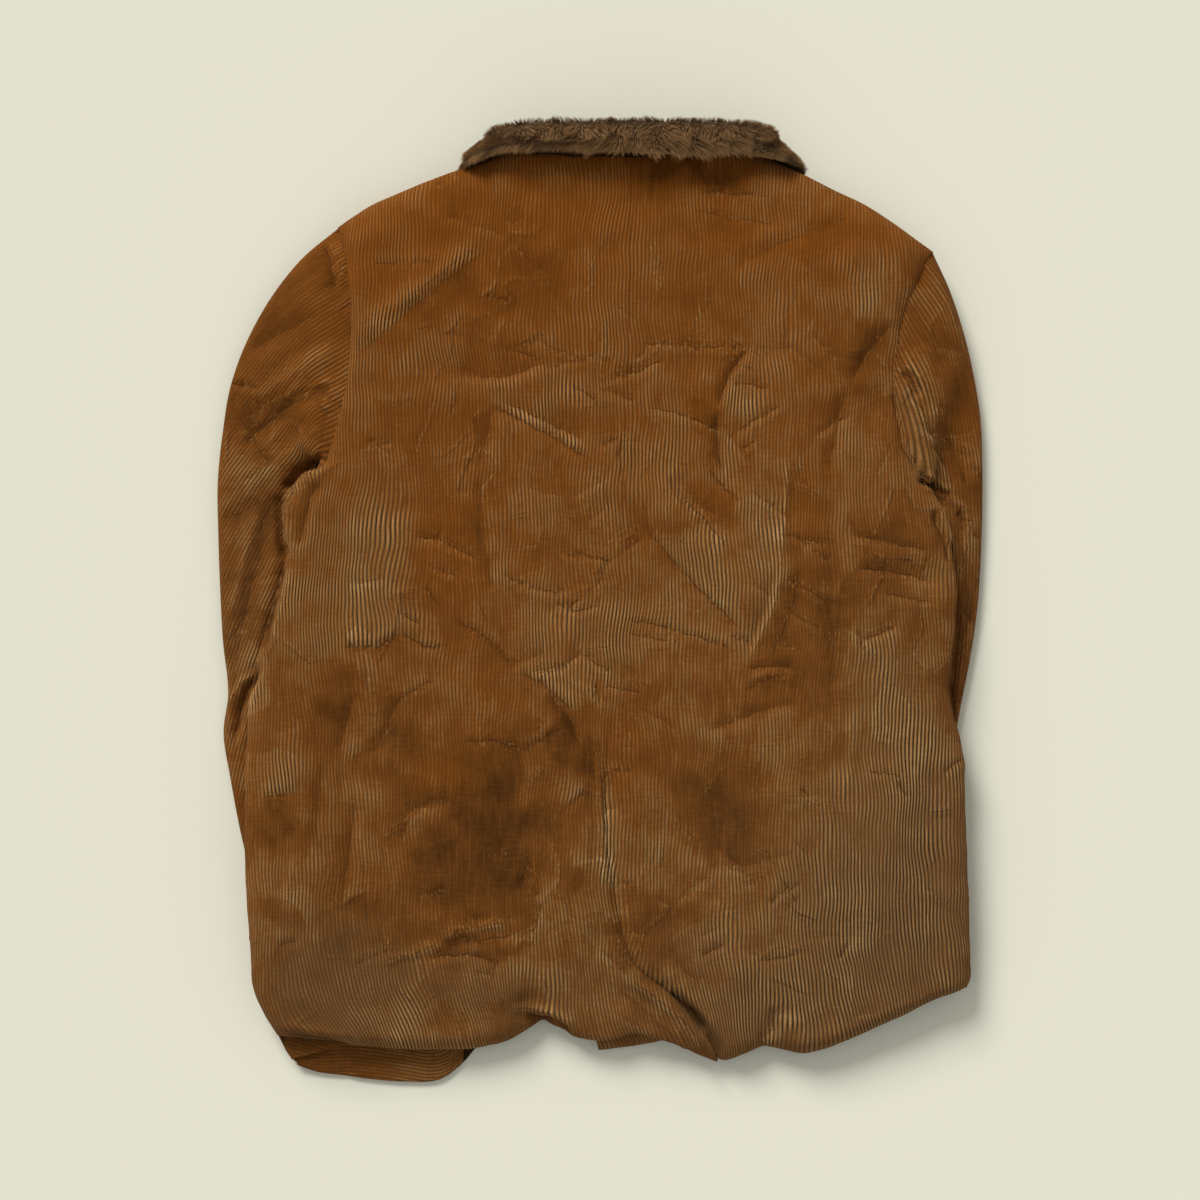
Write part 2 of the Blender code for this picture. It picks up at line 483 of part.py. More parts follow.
def cover_height(x, y):
    """The height of the fronts' outer face, which lies on the surface, the sleeves and the collar."""
    total = np.zeros_like(x)
    for rings, side in ((LEFT_RINGS, -1.0), (RIGHT_RINGS, 1.0)):
        rows = np.array(rings[3:], float)[::-1]
        inner = np.interp(y, rows[:, 1], rows[:, 0])
        across = smooth_step((side * (x - inner) + SLEEVE_COVER_OVERLAP) / SLEEVE_COVER_EASE)
        along = smooth_step((y - (rows[0, 1] - CUFF_COVER_OVERLAP)) / CUFF_COVER_EASE)
        along = along * smooth_step((ARMPIT_COVER_END - y) / SLEEVE_COVER_EASE)
        level = np.interp(y, rows[:, 1], rows[:, 6]) + SLEEVE_COVER_CLEARANCE
        total += level * across * along
    around = np.abs(x - NECK_CENTRE_X)
    collar = smooth_step((y - COLLAR_COVER_START) / COLLAR_COVER_EASE)
    collar = collar * smooth_step((COLLAR_COVER_HALF_WIDTH - around) / COLLAR_COVER_SIDE_EASE)
    return total + COLLAR_COVER_HEIGHT * collar


def right_cover_height(x, y):
    """The right front lies on the left front's lap at the centre."""
    centre = spline(CENTRE_FRONT)(np.linspace(0, 1, CENTRE_FRONT_STATIONS))
    beyond = np.interp(y, centre[:, 1], centre[:, 0]) + FRONT_LAP - x
    return cover_height(x, y) + FRONT_LAP_RISE * smooth_step((beyond + FRONT_LAP_EASE) / FRONT_LAP_EASE)


def rows_share(row):
    """The share of the way from hem to shoulder, with more rows on the rounded rims."""
    hem = HEM_RIM / BODY_LENGTH
    shoulder = 1 - SHOULDER_RIM / BODY_LENGTH
    hem_turn = np.clip(row / HEM_RIM_ROWS, 0, 1)
    top_turn = np.clip((PANEL_ROWS - row) / SHOULDER_RIM_ROWS, 0, 1)
    middle_rows = PANEL_ROWS - HEM_RIM_ROWS - SHOULDER_RIM_ROWS
    middle = hem + (shoulder - hem) * (row - HEM_RIM_ROWS) / middle_rows
    rounded = 1 - np.cos(hem_turn * math.pi / 2)
    low = hem * (RIM_EVEN_SHARE * hem_turn + (1 - RIM_EVEN_SHARE) * rounded)
    high = 1 - (1 - shoulder) * (1 - np.cos(top_turn * math.pi / 2))
    share = np.where(row < HEM_RIM_ROWS, low, middle)
    return np.where(row > PANEL_ROWS - SHOULDER_RIM_ROWS, high, share), hem_turn, top_turn


class Panel:
    """One cut piece of the body between four edge lines, as a function of a column and a row."""

    def __init__(self, side, centre, hem, top, height, columns, rim_width, facing):
        self.side = side
        self.centre = centre
        self.hem = hem
        self.top = top
        self.height = height
        self.columns = columns
        self.rim_width = rim_width
        self.facing = facing

    def at(self, column, row):
        """The outer face's points at these columns and rows, which may lie between the grid's own."""
        t, hem_turn, top_turn = rows_share(row)
        side, centre = self.side(t), self.centre(t)
        width = np.abs(centre[..., 0] - side[..., 0])
        lean = np.radians(side[..., 3])
        turn = np.clip(column / SIDE_RIM_COLUMNS, 0, 1)
        angle = lean + (math.pi / 2 - lean) * turn
        rim_share = self.rim_width * np.cos(lean) / width
        inside = np.clip((column - SIDE_RIM_COLUMNS) / (self.columns - SIDE_RIM_COLUMNS), 0, 1)
        rim = self.rim_width * (np.cos(lean) - np.cos(angle)) / width
        s = np.where(column < SIDE_RIM_COLUMNS, rim, rim_share + (1 - rim_share) * inside)
        hem, top = self.hem(s), self.top(s)
        corners = [line(np.array(end, float)) for line in (self.hem, self.top) for end in (0, 1)]
        s, t = s[..., None], t[..., None]
        plan = (1 - s) * side[..., :2] + s * centre[..., :2] + (1 - t) * hem[..., :2] + t * top[..., :2]
        plan -= (1 - t) * ((1 - s) * corners[0][:2] + s * corners[1][:2])
        plan -= t * ((1 - s) * corners[2][:2] + s * corners[3][:2])
        x, y = plan[..., 0], plan[..., 1]
        full = self.height(x, y)
        rise = self.rise(angle, lean)
        ends = self.drop(full, hem, hem_turn) + self.drop(full, top, top_turn)
        height = full - (full - side[..., 2]) * (1 - rise) - ends * rise
        return np.stack([x, y, np.maximum(height, 0.0)], axis=-1)

    @staticmethod
    def rise(angle, lean):
        return (np.sin(angle) - np.sin(lean)) / (1 - np.sin(lean))

    def drop(self, full, edge, turn):
        """How far the cloth lies below its full height on the rim of the hem or the shoulder."""
        lean = np.radians(edge[..., 3])
        angle = lean + (math.pi / 2 - lean) * turn
        return (full - edge[..., 2]) * (1 - self.rise(angle, lean))

    def grid(self):
        """The grid's points and its unit normals, which point out of the jacket."""
        column, row = np.meshgrid(
            np.arange(self.columns + 1, dtype=float), np.arange(PANEL_ROWS + 1, dtype=float), indexing="ij"
        )
        return self.at(column, row), self.normals(column, row)

    def normals(self, column, row, step=0.02):
        right, left = np.minimum(column + step, self.columns), np.maximum(column - step, 0)
        above, below = np.minimum(row + step, PANEL_ROWS), np.maximum(row - step, 0)
        across = self.at(right, row) - self.at(left, row)
        along = self.at(column, above) - self.at(column, below)
        normal = np.cross(across, along)
        return unit(normal) * self.facing


def armhole_normals(edge):
    """Unit vectors out of the armhole's loop, which lie across the body's length and height only."""
    along = np.gradient(edge, axis=0)
    return unit(np.stack([np.zeros(len(edge)), -along[:, 2], along[:, 1]], axis=-1))


def link_mesh(name, points, faces, finish):
    mesh = bpy.data.meshes.new(name)
    mesh.from_pydata([tuple(point) for point in points], [], faces)
    mesh.update()
    mesh.shade_smooth()
    piece = bpy.data.objects.new(name, mesh)
    bpy.context.scene.collection.objects.link(piece)
    material = bpy.data.materials.new(name)
    material.use_nodes = True
    shader = material.node_tree.nodes["Principled BSDF"]
    shader.inputs["Base Color"].default_value = finish["colour"]
    shader.inputs["Roughness"].default_value = finish["roughness"]
    shader.inputs["Metallic"].default_value = 0.0
    mesh.materials.append(material)
    return piece


def cloth_wall(name, outer, inner, finish, ring=False):
    """A closed wall between two grids of points. With ring, the grid's last row meets its first."""
    columns, rows = outer.shape[:2]
    points = np.concatenate([outer.reshape(-1, 3), inner.reshape(-1, 3)])
    half = columns * rows
    faces = []
    last_row = rows if ring else rows - 1
    for i in range(columns - 1):
        for j in range(last_row):
            a, b = i * rows + j, (i + 1) * rows + j
            c, d = (i + 1) * rows + (j + 1) % rows, i * rows + (j + 1) % rows
            faces.append((a, b, c, d))
            faces.append((half + a, half + d, half + c, half + b))
    for i in (0, columns - 1):
        for j in range(last_row):
            a, d = i * rows + j, i * rows + (j + 1) % rows
            face = (a, d, half + d, half + a)
            faces.append(face if i == 0 else face[::-1])
    if not ring:
        for j in (0, rows - 1):
            for i in range(columns - 1):
                a, b = i * rows + j, (i + 1) * rows + j
                face = (a, half + a, half + b, b)
                faces.append(face if j == 0 else face[::-1])
    piece = link_mesh(name, points, faces, finish)
    turn_outwards(piece)
    return piece


def turn_outwards(piece):
    """Flips a closed mesh whose faces point in, which its volume shows."""
    mesh = piece.data
    mesh.calc_loop_triangles()
    points = np.array([vertex.co[:] for vertex in mesh.vertices])
    triangles = points[[triangle.vertices[:] for triangle in mesh.loop_triangles]]
    volume = np.einsum("ij,ij->i", triangles[:, 0], np.cross(triangles[:, 1], triangles[:, 2])).sum()
    if volume < 0:
        mesh.flip_normals()


def with_edge_normals(points, normals, facing, side):
    """The panel's edge at the armhole is cut in the armhole's own plane, as the sleeve's is."""
    normals = normals.copy()
    seam = np.gradient(points[0, : ARMPIT_ROW + 1], axis=0)
    normals[0, : ARMPIT_ROW + 1] = unit(side * np.stack([seam[:, 1], -seam[:, 0], 0 * seam[:, 0]], axis=-1))
    normals[0, 0] = unit(np.array([side, -1.0, 0.0]))
    normals[: SIDE_RIM_COLUMNS - 1, 0, 2] = 0.0
    normals[: SIDE_RIM_COLUMNS - 1, 0] = unit(normals[: SIDE_RIM_COLUMNS - 1, 0])
    armhole = armhole_normals(points[0, ARMPIT_ROW:]) * facing
    normals[0, ARMPIT_ROW + 1 :] = armhole[1:]
    normals[0, ARMPIT_ROW] = unit(normals[0, ARMPIT_ROW] + np.array([0.0, -1.0, 0.0]))
    normals[0, -2] = unit(normals[0, -2] + np.array([0.0, 1.5, 0.0]))
    normals[0, -1] = (0.0, 1.0, 0.0)
    return normals


def body_panel(name, panel, side, gap):
    """One half of the back or one front. gap moves its edges off its neighbours'."""
    points, normals = panel.grid()
    points = points + gap
    normals = with_edge_normals(points, normals, -side * panel.facing, side)
    cloth_wall(name, points, inside_face(points, normals, CLOTH), CORDUROY)
    return points[0, ARMPIT_ROW:], normals[0, ARMPIT_ROW:]


def inside_face(outer, normals, thickness):
    """The wall's inner face, which stays a full thickness up where the outer face lies on the surface."""
    inner = outer - thickness * normals
    inner[..., 2] = np.where(outer[..., 2] < ON_SURFACE, thickness, inner[..., 2])
    return inner


def sleeve_profile(share):
    """How full a flattened tube is between its two folds."""
    off_middle = np.minimum(np.abs(2 * share - 1), 1.0)
    return (1 - off_middle**FOLD_FULLNESS) ** (1 / FOLD_FULLNESS)


def sleeve(name, side, rings, back, front):
    """A flattened tube from the armhole's loop to the cuff, through rings between its two folds.

    back and front are the points and normals of the body's edge at the armhole.
    """
    (back_edge, back_normals), (front_edge, front_normals) = back, front
    share = np.linalg.norm(np.diff(back_edge, axis=0), axis=1)
    share = np.concatenate([[0.0], np.cumsum(share)]) / share.sum()
    first = np.concatenate([back_edge, front_edge[-2:0:-1]])
    first[0] = (back_edge[0] + front_edge[0]) / 2
    first[len(back_edge) - 1] = (back_edge[-1] + front_edge[-1]) / 2
    first[:, 0] += side * SLEEVE_SEAM_GAP
    around = np.concatenate([share, share[-2:0:-1]])
    upper = np.arange(len(around)) < len(share)
    outer = [first]
    for row in rings[1:]:
        plan_x = row.in_x + (row.out_x - row.in_x) * around + row.bow * 4 * around * (1 - around)
        plan_y = row.in_y + (row.out_y - row.in_y) * around
        fold = row.in_z + (row.out_z - row.in_z) * around
        layer = np.where(upper, row.top, row.bottom)
        height = fold + (layer - fold) * sleeve_profile(around)
        outer.append(np.stack([plan_x, plan_y, height], axis=-1))
    outer = np.array(outer)
    along = np.gradient(outer, axis=0)
    across = np.roll(outer, -1, axis=1) - np.roll(outer, 1, axis=1)
    normals = unit(np.cross(across, along)) * -side
    normals[0] = np.concatenate([back_normals, front_normals[-2:0:-1]])
    normals[0, 0] = (0.0, -1.0, 0.0)
    cloth_wall(name, outer, inside_face(outer, normals, CLOTH), CORDUROY, ring=True)


def collar_surface():
    """The collar's middle layer and its normals, which point to the outside of its fold."""
    row_numbers = np.arange(len(COLLAR_ROWS))
    stations = np.linspace(0, row_numbers[-1], COLLAR_STATIONS + 1)
    rows = spline(COLLAR_ROWS)(np.interp(stations, row_numbers, plan_shares(COLLAR_ROWS)))
    seam, fold, edge = rows[:, 0:3], rows[:, 3:6], rows[:, 6:9]
    rise = unit(fold - seam)
    turn = np.radians(rows[:, 9])
    over = np.stack([np.sin(turn), np.zeros_like(turn), np.cos(turn)], axis=-1)
    over = unit(over - np.sum(over * rise, axis=-1, keepdims=True) * rise)
    radius = COLLAR_FOLD_RADIUS
    turned = fold - radius * rise + 2 * radius * over
    falling = turned + (edge - turned) * FALL_START
    controls = np.stack([seam, fold - radius * rise, fold + radius * over, turned, falling, edge], axis=1)
    steps = np.linspace(0, 1, COLLAR_STEPS + 1)
    middle = np.array([section_line(station, steps) for station in controls])
    along = np.gradient(middle, axis=0)
    down = np.gradient(middle, axis=1)
    normals = unit(np.cross(along, down))
    if np.sum(normals[:, -2] * over) < 0:
        normals = -normals
    return middle, normals


def section_line(controls, steps):
    """A smooth line in space through one section's points."""
    lengths = np.linalg.norm(np.diff(controls, axis=0), axis=1)
    knots = np.concatenate([[0.0], np.cumsum(lengths)]) / lengths.sum()
    slopes = np.gradient(controls, knots, axis=0)
    low = np.clip(np.searchsorted(knots, steps, side="right") - 1, 0, len(knots) - 2)
    span = (knots[low + 1] - knots[low])[:, None]
    f = (steps - knots[low])[:, None] / span
    start = (1 + 2 * f) * (1 - f) ** 2 * controls[low] + f * (1 - f) ** 2 * span * slopes[low]
    end = f**2 * (3 - 2 * f) * controls[low + 1] + f**2 * (f - 1) * span * slopes[low + 1]
    return start + end


def collar():
    middle, normals = collar_surface()
    half = COLLAR_CLOTH / 2
    cloth_wall("collar_under", middle + half * normals, middle - half * normals, CORDUROY_INSIDE)
    share = np.linspace(0, 1, COLLAR_STEPS + 1)
    depth = PILE_EDGE_DEPTH + (PILE_DEPTH - PILE_EDGE_DEPTH) * np.sin(math.pi * share) ** 0.5
    near = middle + (half + PILE_GAP) * normals
    far = middle + (half + PILE_GAP + depth[None, :, None]) * normals
    far[..., 2] = np.maximum(far[..., 2], 0.0)
    cloth_wall("collar_pile", far[:, 1:], near[:, 1:], PILE)


def hem_facing():
    """The band sewn inside the left front's hem, which lies flat on the front."""
    line = spline(LEFT_FRONT_HEM)(np.linspace(*FACING_SHARES, FACING_STEPS + 1))
    up = FACING_INSET + FACING_DEPTH * np.linspace(0, 1, FACING_DEPTH_STEPS + 1)
    x = np.repeat(line[:, :1], len(up), axis=1)
    y = line[:, 1:2] + up
    low = np.stack([x, y, line[:, 2:3] + CLOTH + FACING_GAP + 0 * y], axis=-1)
    cloth_wall("hem_facing_left", low, low + np.array([0.0, 0.0, FACING_CLOTH]), CORDUROY)


def hem_corner():
    """The triangle of the hem that is turned in at the left side seam."""
    outer_end, inner_end = np.array(HEM_CORNER_SIDE, float), np.array(HEM_CORNER_TIP, float)
    across, along = np.linspace(0, 1, HEM_CORNER_STEPS + 1), np.linspace(0, 1, HEM_CORNER_DEPTH_STEPS + 1)
    s, t = np.meshgrid(across, along, indexing="ij")
    s, t = s[..., None], t[..., None]
    low = (1 - s) * outer_end[0] + s * inner_end[0]
    high = (1 - s) * outer_end[1] + s * inner_end[1]
    top = (1 - t) * low + t * high
    top[..., 2] += HEM_CORNER_BULGE * np.sin(math.pi * s[..., 0]) * np.sin(math.pi * t[..., 0])
    cloth_wall("hem_corner_left", top, top - np.array([0.0, 0.0, FACING_CLOTH]), CORDUROY)


def centre_on_origin():
    """Moves the whole jacket so that its box's bottom centre is the origin."""
    meshes = [piece.data for piece in bpy.context.scene.objects]
    points = np.array([vertex.co[:] for mesh in meshes for vertex in mesh.vertices])
    low, high = points.min(axis=0), points.max(axis=0)
    shift = np.array([-(low[0] + high[0]) / 2, -(low[1] + high[1]) / 2, -low[2]])
    for mesh in meshes:
        for vertex in mesh.vertices:
            vertex.co = np.array(vertex.co[:]) + shift


def armhole_line(ring, level):
    """One half of the armhole, from the armpit to the shoulder, whose middle is at this height."""
    rows = []
    for share in np.linspace(0, 1, ARMHOLE_STATIONS):
        fold = ring.in_z + (ring.out_z - ring.in_z) * share
        rows.append(
            EdgeRow(
                x=ring.in_x + (ring.out_x - ring.in_x) * share + ring.bow * 4 * share * (1 - share),
                y=ring.in_y + (ring.out_y - ring.in_y) * share,
                z=fold + (level - fold) * sleeve_profile(share),
                lean=ARMHOLE_LEAN * math.sin(math.pi * share) ** 0.5,
            )
        )
    return spline(rows)


def body_half(cut):
    """One half of the back, the front below it and their sleeve."""
    side, ring = cut.side, cut.rings[0]
    armpit = rows_share(np.array(float(ARMPIT_ROW)))[0]
    neck = abs(cut.shoulder[0].x - cut.shoulder[-1].x) / abs(cut.shoulder[0].x - NECK_CENTRE_X)
    back = Panel(
        side=joined(spline(cut.seam), armhole_line(ring, ring.top), armpit),
        centre=cut.back_centre,
        hem=spline(cut.back_hem),
        top=joined(spline(cut.shoulder), spline(cut.back_neck), neck),
        height=cut.back_height,
        columns=BACK_COLUMNS,
        rim_width=SIDE_RIM,
        facing=-side,
    )
    front = Panel(
        side=joined(spline(cut.seam), armhole_line(ring, ring.bottom), armpit),
        centre=spline([PlanRow(row.x - side * FRONT_LAP, row.y) for row in CENTRE_FRONT]),
        hem=spline(cut.front_hem),
        top=joined(spline(cut.shoulder), spline(cut.front_neck), neck),
        height=cut.front_height,
        columns=FRONT_COLUMNS,
        rim_width=UNDER_RIM,
        facing=side,
    )
    apart = SEAM_GAP / 2
    back_edge = body_panel(f"back_{cut.name}", back, side, np.array([side * apart, 0.0, apart]))
    front_edge = body_panel(f"front_{cut.name}", front, side, np.array([side * apart, 0.0, -apart]))
    sleeve(f"sleeve_{cut.name}", side, cut.rings, back_edge, front_edge)


def body_halves():
    """The left and the right half of the body, with the lines that each is cut to."""
    vent_top = rows_share(np.array(float(VENT_TOP_ROW)))[0]
    left = HalfCut(
        name="left",
        side=-1.0,
        seam=LEFT_SIDE_SEAM,
        rings=LEFT_RINGS,
        shoulder=LEFT_SHOULDER,
        back_neck=LEFT_BACK_NECK,
        front_neck=LEFT_FRONT_NECK,
        back_centre=joined(spline(VENT_FLAP_EDGE), spline(CENTRE_SEAM), vent_top),
        back_hem=LEFT_BACK_HEM,
        front_hem=LEFT_FRONT_HEM,
        back_height=back_height,
        front_height=cover_height,
    )
    right = HalfCut(
        name="right",
        side=1.0,
        seam=RIGHT_SIDE_SEAM,
        rings=RIGHT_RINGS,
        shoulder=RIGHT_SHOULDER,
        back_neck=RIGHT_BACK_NECK,
        front_neck=RIGHT_FRONT_NECK,
        back_centre=joined(spline(VENT_UNDERLAP_EDGE), spline(CENTRE_SEAM), vent_top),
        back_hem=RIGHT_BACK_HEM,
        front_hem=RIGHT_FRONT_HEM,
        back_height=right_back_height,
        front_height=right_cover_height,
    )
    return left, right


def main():
    for old in list(bpy.data.objects):
        bpy.data.objects.remove(old)
    left, right = body_halves()
    body_half(left)
    hem_facing()
    body_half(right)
    hem_corner()
    collar()
    centre_on_origin()


main()
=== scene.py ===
"""A corduroy jacket with a pile collar, laid face down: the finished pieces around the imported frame.

X runs across the body, Y from the hem to the collar and Z up from the surface that it lies on. Sizes are in
metres, and the tables' rows in millimetres. Each cloth piece is a thin wall whose outer face carries the
cord's ribs, the wales, and whose UV map holds the distance across and along them.
"""

import logging
import math
from dataclasses import dataclass, field
from enum import Enum
from typing import Callable, NamedTuple, Sequence

import bpy
import numpy as np
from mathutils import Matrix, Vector
from mathutils.kdtree import KDTree


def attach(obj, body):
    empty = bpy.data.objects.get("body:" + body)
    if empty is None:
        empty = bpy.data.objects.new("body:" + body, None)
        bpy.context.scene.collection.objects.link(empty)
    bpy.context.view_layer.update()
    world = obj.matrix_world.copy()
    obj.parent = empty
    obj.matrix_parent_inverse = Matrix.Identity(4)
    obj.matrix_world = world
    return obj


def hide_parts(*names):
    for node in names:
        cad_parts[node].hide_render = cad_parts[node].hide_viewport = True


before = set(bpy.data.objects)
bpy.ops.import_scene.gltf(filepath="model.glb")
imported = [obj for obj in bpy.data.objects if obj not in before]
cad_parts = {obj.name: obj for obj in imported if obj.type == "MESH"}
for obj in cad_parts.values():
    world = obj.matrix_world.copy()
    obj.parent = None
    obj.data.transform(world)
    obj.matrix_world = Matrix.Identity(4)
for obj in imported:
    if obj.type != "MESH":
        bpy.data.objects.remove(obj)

LOG = logging.getLogger("jacket")
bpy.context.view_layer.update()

Array = np.ndarray
Pair = tuple[float, float]
Grid = tuple[int, int]
Colour = tuple[float, float, float]
Mesh = bpy.types.Mesh
Piece = bpy.types.Object
Finish = bpy.types.Material
Line = Callable[[Array], Array]
Height = Callable[[Array, Array], Array]
Marks = dict[str, Array]
Rows = Sequence[tuple[float, ...]]
Spans = tuple[Pair, ...]

# The sizes that all else follows
CLOTH = 0.0026
SEAM_GAP = 0.0003
BACK_HEIGHT = 0.0345
BACK_HEIGHT_OVER_SLEEVES = 0.0055
BACK_HEIGHT_AT_SHOULDERS = 0.0035
HEM_FALL = 0.0075
SLEEVE_COVER_CLEARANCE = 0.0025
COLLAR_COVER_HEIGHT = 0.0165
FRONT_LAP = 0.015
FRONT_LAP_RISE = 0.0033
FRONT_LAP_EASE = 0.014
SIDE_RIM = 0.021
UNDER_RIM = 0.013
HEM_RIM = 0.016
SHOULDER_RIM = 0.030
VENT_DIP_TOP = 0.0050
VENT_DIP_HEM = 0.0125
VENT_SHADOW_WIDTH = 0.016
COLLAR_CLOTH = 0.0024
PILE_DEPTH = 0.0078
PILE_EDGE_DEPTH = 0.0042
COLLAR_FOLD_RADIUS = 0.0052
PILE_GAP = 0.0010
FACING_CLOTH = 0.0020
FOLD_FULLNESS = 2.6
FACING_GAP = 0.0006
ON_SURFACE = 0.0002
NECK_CENTRE_X = 0.0275

# Where the cloth rises or falls softly: the start and the length of each zone
OVER_SLEEVES = (0.08, 0.17)
TO_SHOULDERS = (0.10, 0.22)
TO_HEM = (0.26, 0.13)
OPEN_VENT = (0.150, 0.026)
VENT_TO_HEM = (0.24, 0.10)
VENT_PRESSED_FROM = (0.140, 0.02)
VENT_PRESSED_TO = (-0.372, 0.055)
COVER_BEYOND_SLEEVE = (-0.085, 0.050)
COVER_BELOW_ARMPIT = (-0.160, 0.050)
COVER_BELOW_CUFF = 0.055
COVER_CUFF_EASE = 0.040
COLLAR_FROM = (0.205, 0.045)
COLLAR_BESIDE = (-0.205, 0.040)
FOLD_ENDS = (-0.15, 0.45)
FOLD_END_PAST = 1.15

# Rows and columns of the grids
PANEL_ROWS = 30
ARMPIT_ROW = 20
VENT_TOP_ROW = 9
HEM_RIM_ROWS = 3
SHOULDER_RIM_ROWS = 4
SIDE_RIM_COLUMNS = 5
BACK_COLUMNS = 22
FRONT_COLUMNS = 16


class EdgeRow(NamedTuple):
    """A point of a seam or hem, and the angle in degrees at which the cloth leaves it."""

    x: float
    y: float
    z: float
    lean: float = 0


class PlanRow(NamedTuple):
    """A point of a line in plan."""

    x: float
    y: float


class PointRow(NamedTuple):
    """A point in space."""

    x: float
    y: float
    z: float


class FoldRow(NamedTuple):
    """A fold from one point to another, its half width, and its height, less than nothing for a trough."""

    x0: float
    y0: float
    x1: float
    y1: float
    width: float
    height: float


class RingRow(NamedTuple):
    """A sleeve's ring: its inner and outer fold, its layers' heights, and how far it bows sideways."""

    in_x: float
    in_y: float
    in_z: float
    out_x: float
    out_y: float
    out_z: float
    top: float
    bottom: float
    bow: float


class CollarRow(NamedTuple):
    """A collar's section: neck seam, fold and free edge, and the way its outside faces, in degrees."""

    seam_x: float
    seam_y: float
    seam_z: float
    fold_x: float
    fold_y: float
    fold_z: float
    edge_x: float
    edge_y: float
    edge_z: float
    turn: float


def table(kind: type, rows: Rows) -> tuple:
    """A table's rows of one kind in metres, from millimetres, with a lean or a turn left in degrees."""
    scales = [1 if name in ("lean", "turn") else 1000 for name in kind._fields]
    return tuple(kind(*(value / scale for value, scale in zip(row, scales))) for row in rows)


# The side seams, from the hem to the armpit. lean is the angle at which the cloth leaves the seam:
# 0, which a row leaves out, is straight up, as where the side rolls over, and 60 is a shallow slope.
LEFT_SIDE_SEAM = table(EdgeRow, (
    (-278.5, -381, 16), (-289, -365, 18), (-298, -343, 20.5), (-302, -300, 24), (-306, -215, 27),
    (-305, -143, 28.5), (-297, -65, 29), (-279, 1, 29), (-269, 40, 29), (-266, 78, 29), (-256, 96, 28.5),
    (-239, 108, 28),
))
RIGHT_SIDE_SEAM = table(EdgeRow, (
    (317.8, -339.2, 16), (320.3, -333.5, 18), (320, -315, 22), (318, -263, 25.5), (315.5, -190, 26.5),
    (311, -125, 28), (302, -91, 29), (304.5, -48, 29), (307.9, -5, 29), (304, 35, 29), (295, 74, 28.5),
    (279.5, 98, 28),
))

# The shoulder seams, from the armhole to the neck
LEFT_SHOULDER = table(EdgeRow, (
    (-226, 317, 24), (-210.7, 327.7, 24), (-184.9, 341.4, 24.5), (-159.1, 352.6, 25), (-133.3, 362.1, 26.5),
    (-107.5, 370.7, 28), (-80, 380, 30),
))
RIGHT_SHOULDER = table(EdgeRow, (
    (288.1, 295.8, 24), (279.5, 301.9, 24), (253.7, 320.8, 24), (227.9, 337.1, 24.5), (202.1, 349.2, 25.5),
    (176.3, 362.1, 27.5), (135, 380, 30),
))

# The neck seams, from the shoulder to the centre
LEFT_BACK_NECK = table(EdgeRow, (
    (-80, 380, 30), (-60, 379, 34.5, 40), (-20, 377, 37, 60), (27.5, 376, 37.5, 60),
))
RIGHT_BACK_NECK = table(EdgeRow, (
    (135, 380, 30), (115, 379, 34.5, 40), (75, 377, 37, 60), (27.5, 376, 37.5, 60),
))
LEFT_FRONT_NECK = table(EdgeRow, (
    (-80, 380, 30), (-66, 362, 20.5, 40), (-45, 342, 16.8, 60), (-8, 324, 16.5, 60), (42, 318, 16.5, 60),
))
RIGHT_FRONT_NECK = table(EdgeRow, (
    (135, 380, 30), (121, 362, 20.5, 40), (100, 342, 17, 60), (63, 324, 18, 60), (12, 318, 19.7, 60),
))

# The hems, from the side seam to the centre
LEFT_BACK_HEM = table(EdgeRow, (
    (-278.5, -381, 16), (-219.3, -389.6, 13.5), (-189.2, -392.2, 13), (-137.6, -393.9, 12.5),
    (-103.2, -392.2, 12.5), (-80, -386, 13), (-64.5, -377, 13.5), (-49, -370, 14), (-38.7, -374, 15),
    (-20, -382.5, 18), (8.6, -384.4, 22, 10), (38.7, -378.5, 23.5, 15), (56.8, -385.5, 22, 10),
    (71.4, -392.2, 18), (86, -399, 16), (101.5, -404.2, 16),
))
RIGHT_BACK_HEM = table(EdgeRow, (
    (317.8, -339.2, 16), (313.9, -341.4, 15), (292.4, -350, 14), (258, -366.4, 13), (223.6, -381.8, 12),
    (193.5, -393.9, 12), (172, -397.3, 12), (159.1, -393.9, 12.5), (146.2, -390.4, 12.5),
    (124.7, -398.2, 11.5), (106, -403, 9), (91, -395, 7.5), (68, -386, 7), (29.2, -392.2, 6.5),
    (-0.9, -394.7, 6),
))
LEFT_FRONT_HEM = table(EdgeRow, (
    (-278.5, -381, 16), (-266.5, -403.5, 5, 45), (-249, -412, 1, 60), (-223.6, -416, 0, 60),
    (-198, -419.5, 0, 60), (-172, -421.5, 0, 60), (-137.6, -419, 0, 60), (-118, -404, 0, 60),
    (-100, -382, 0, 60), (-60, -364, 0, 60), (32, -360, 0, 60),
))
RIGHT_FRONT_HEM = table(EdgeRow, (
    (317.8, -339.2, 16), (308, -340, 5, 45), (280, -350, 0, 60), (200, -372, 0, 60), (100, -378, 0, 60),
    (2, -364, 3.2, 60),
))

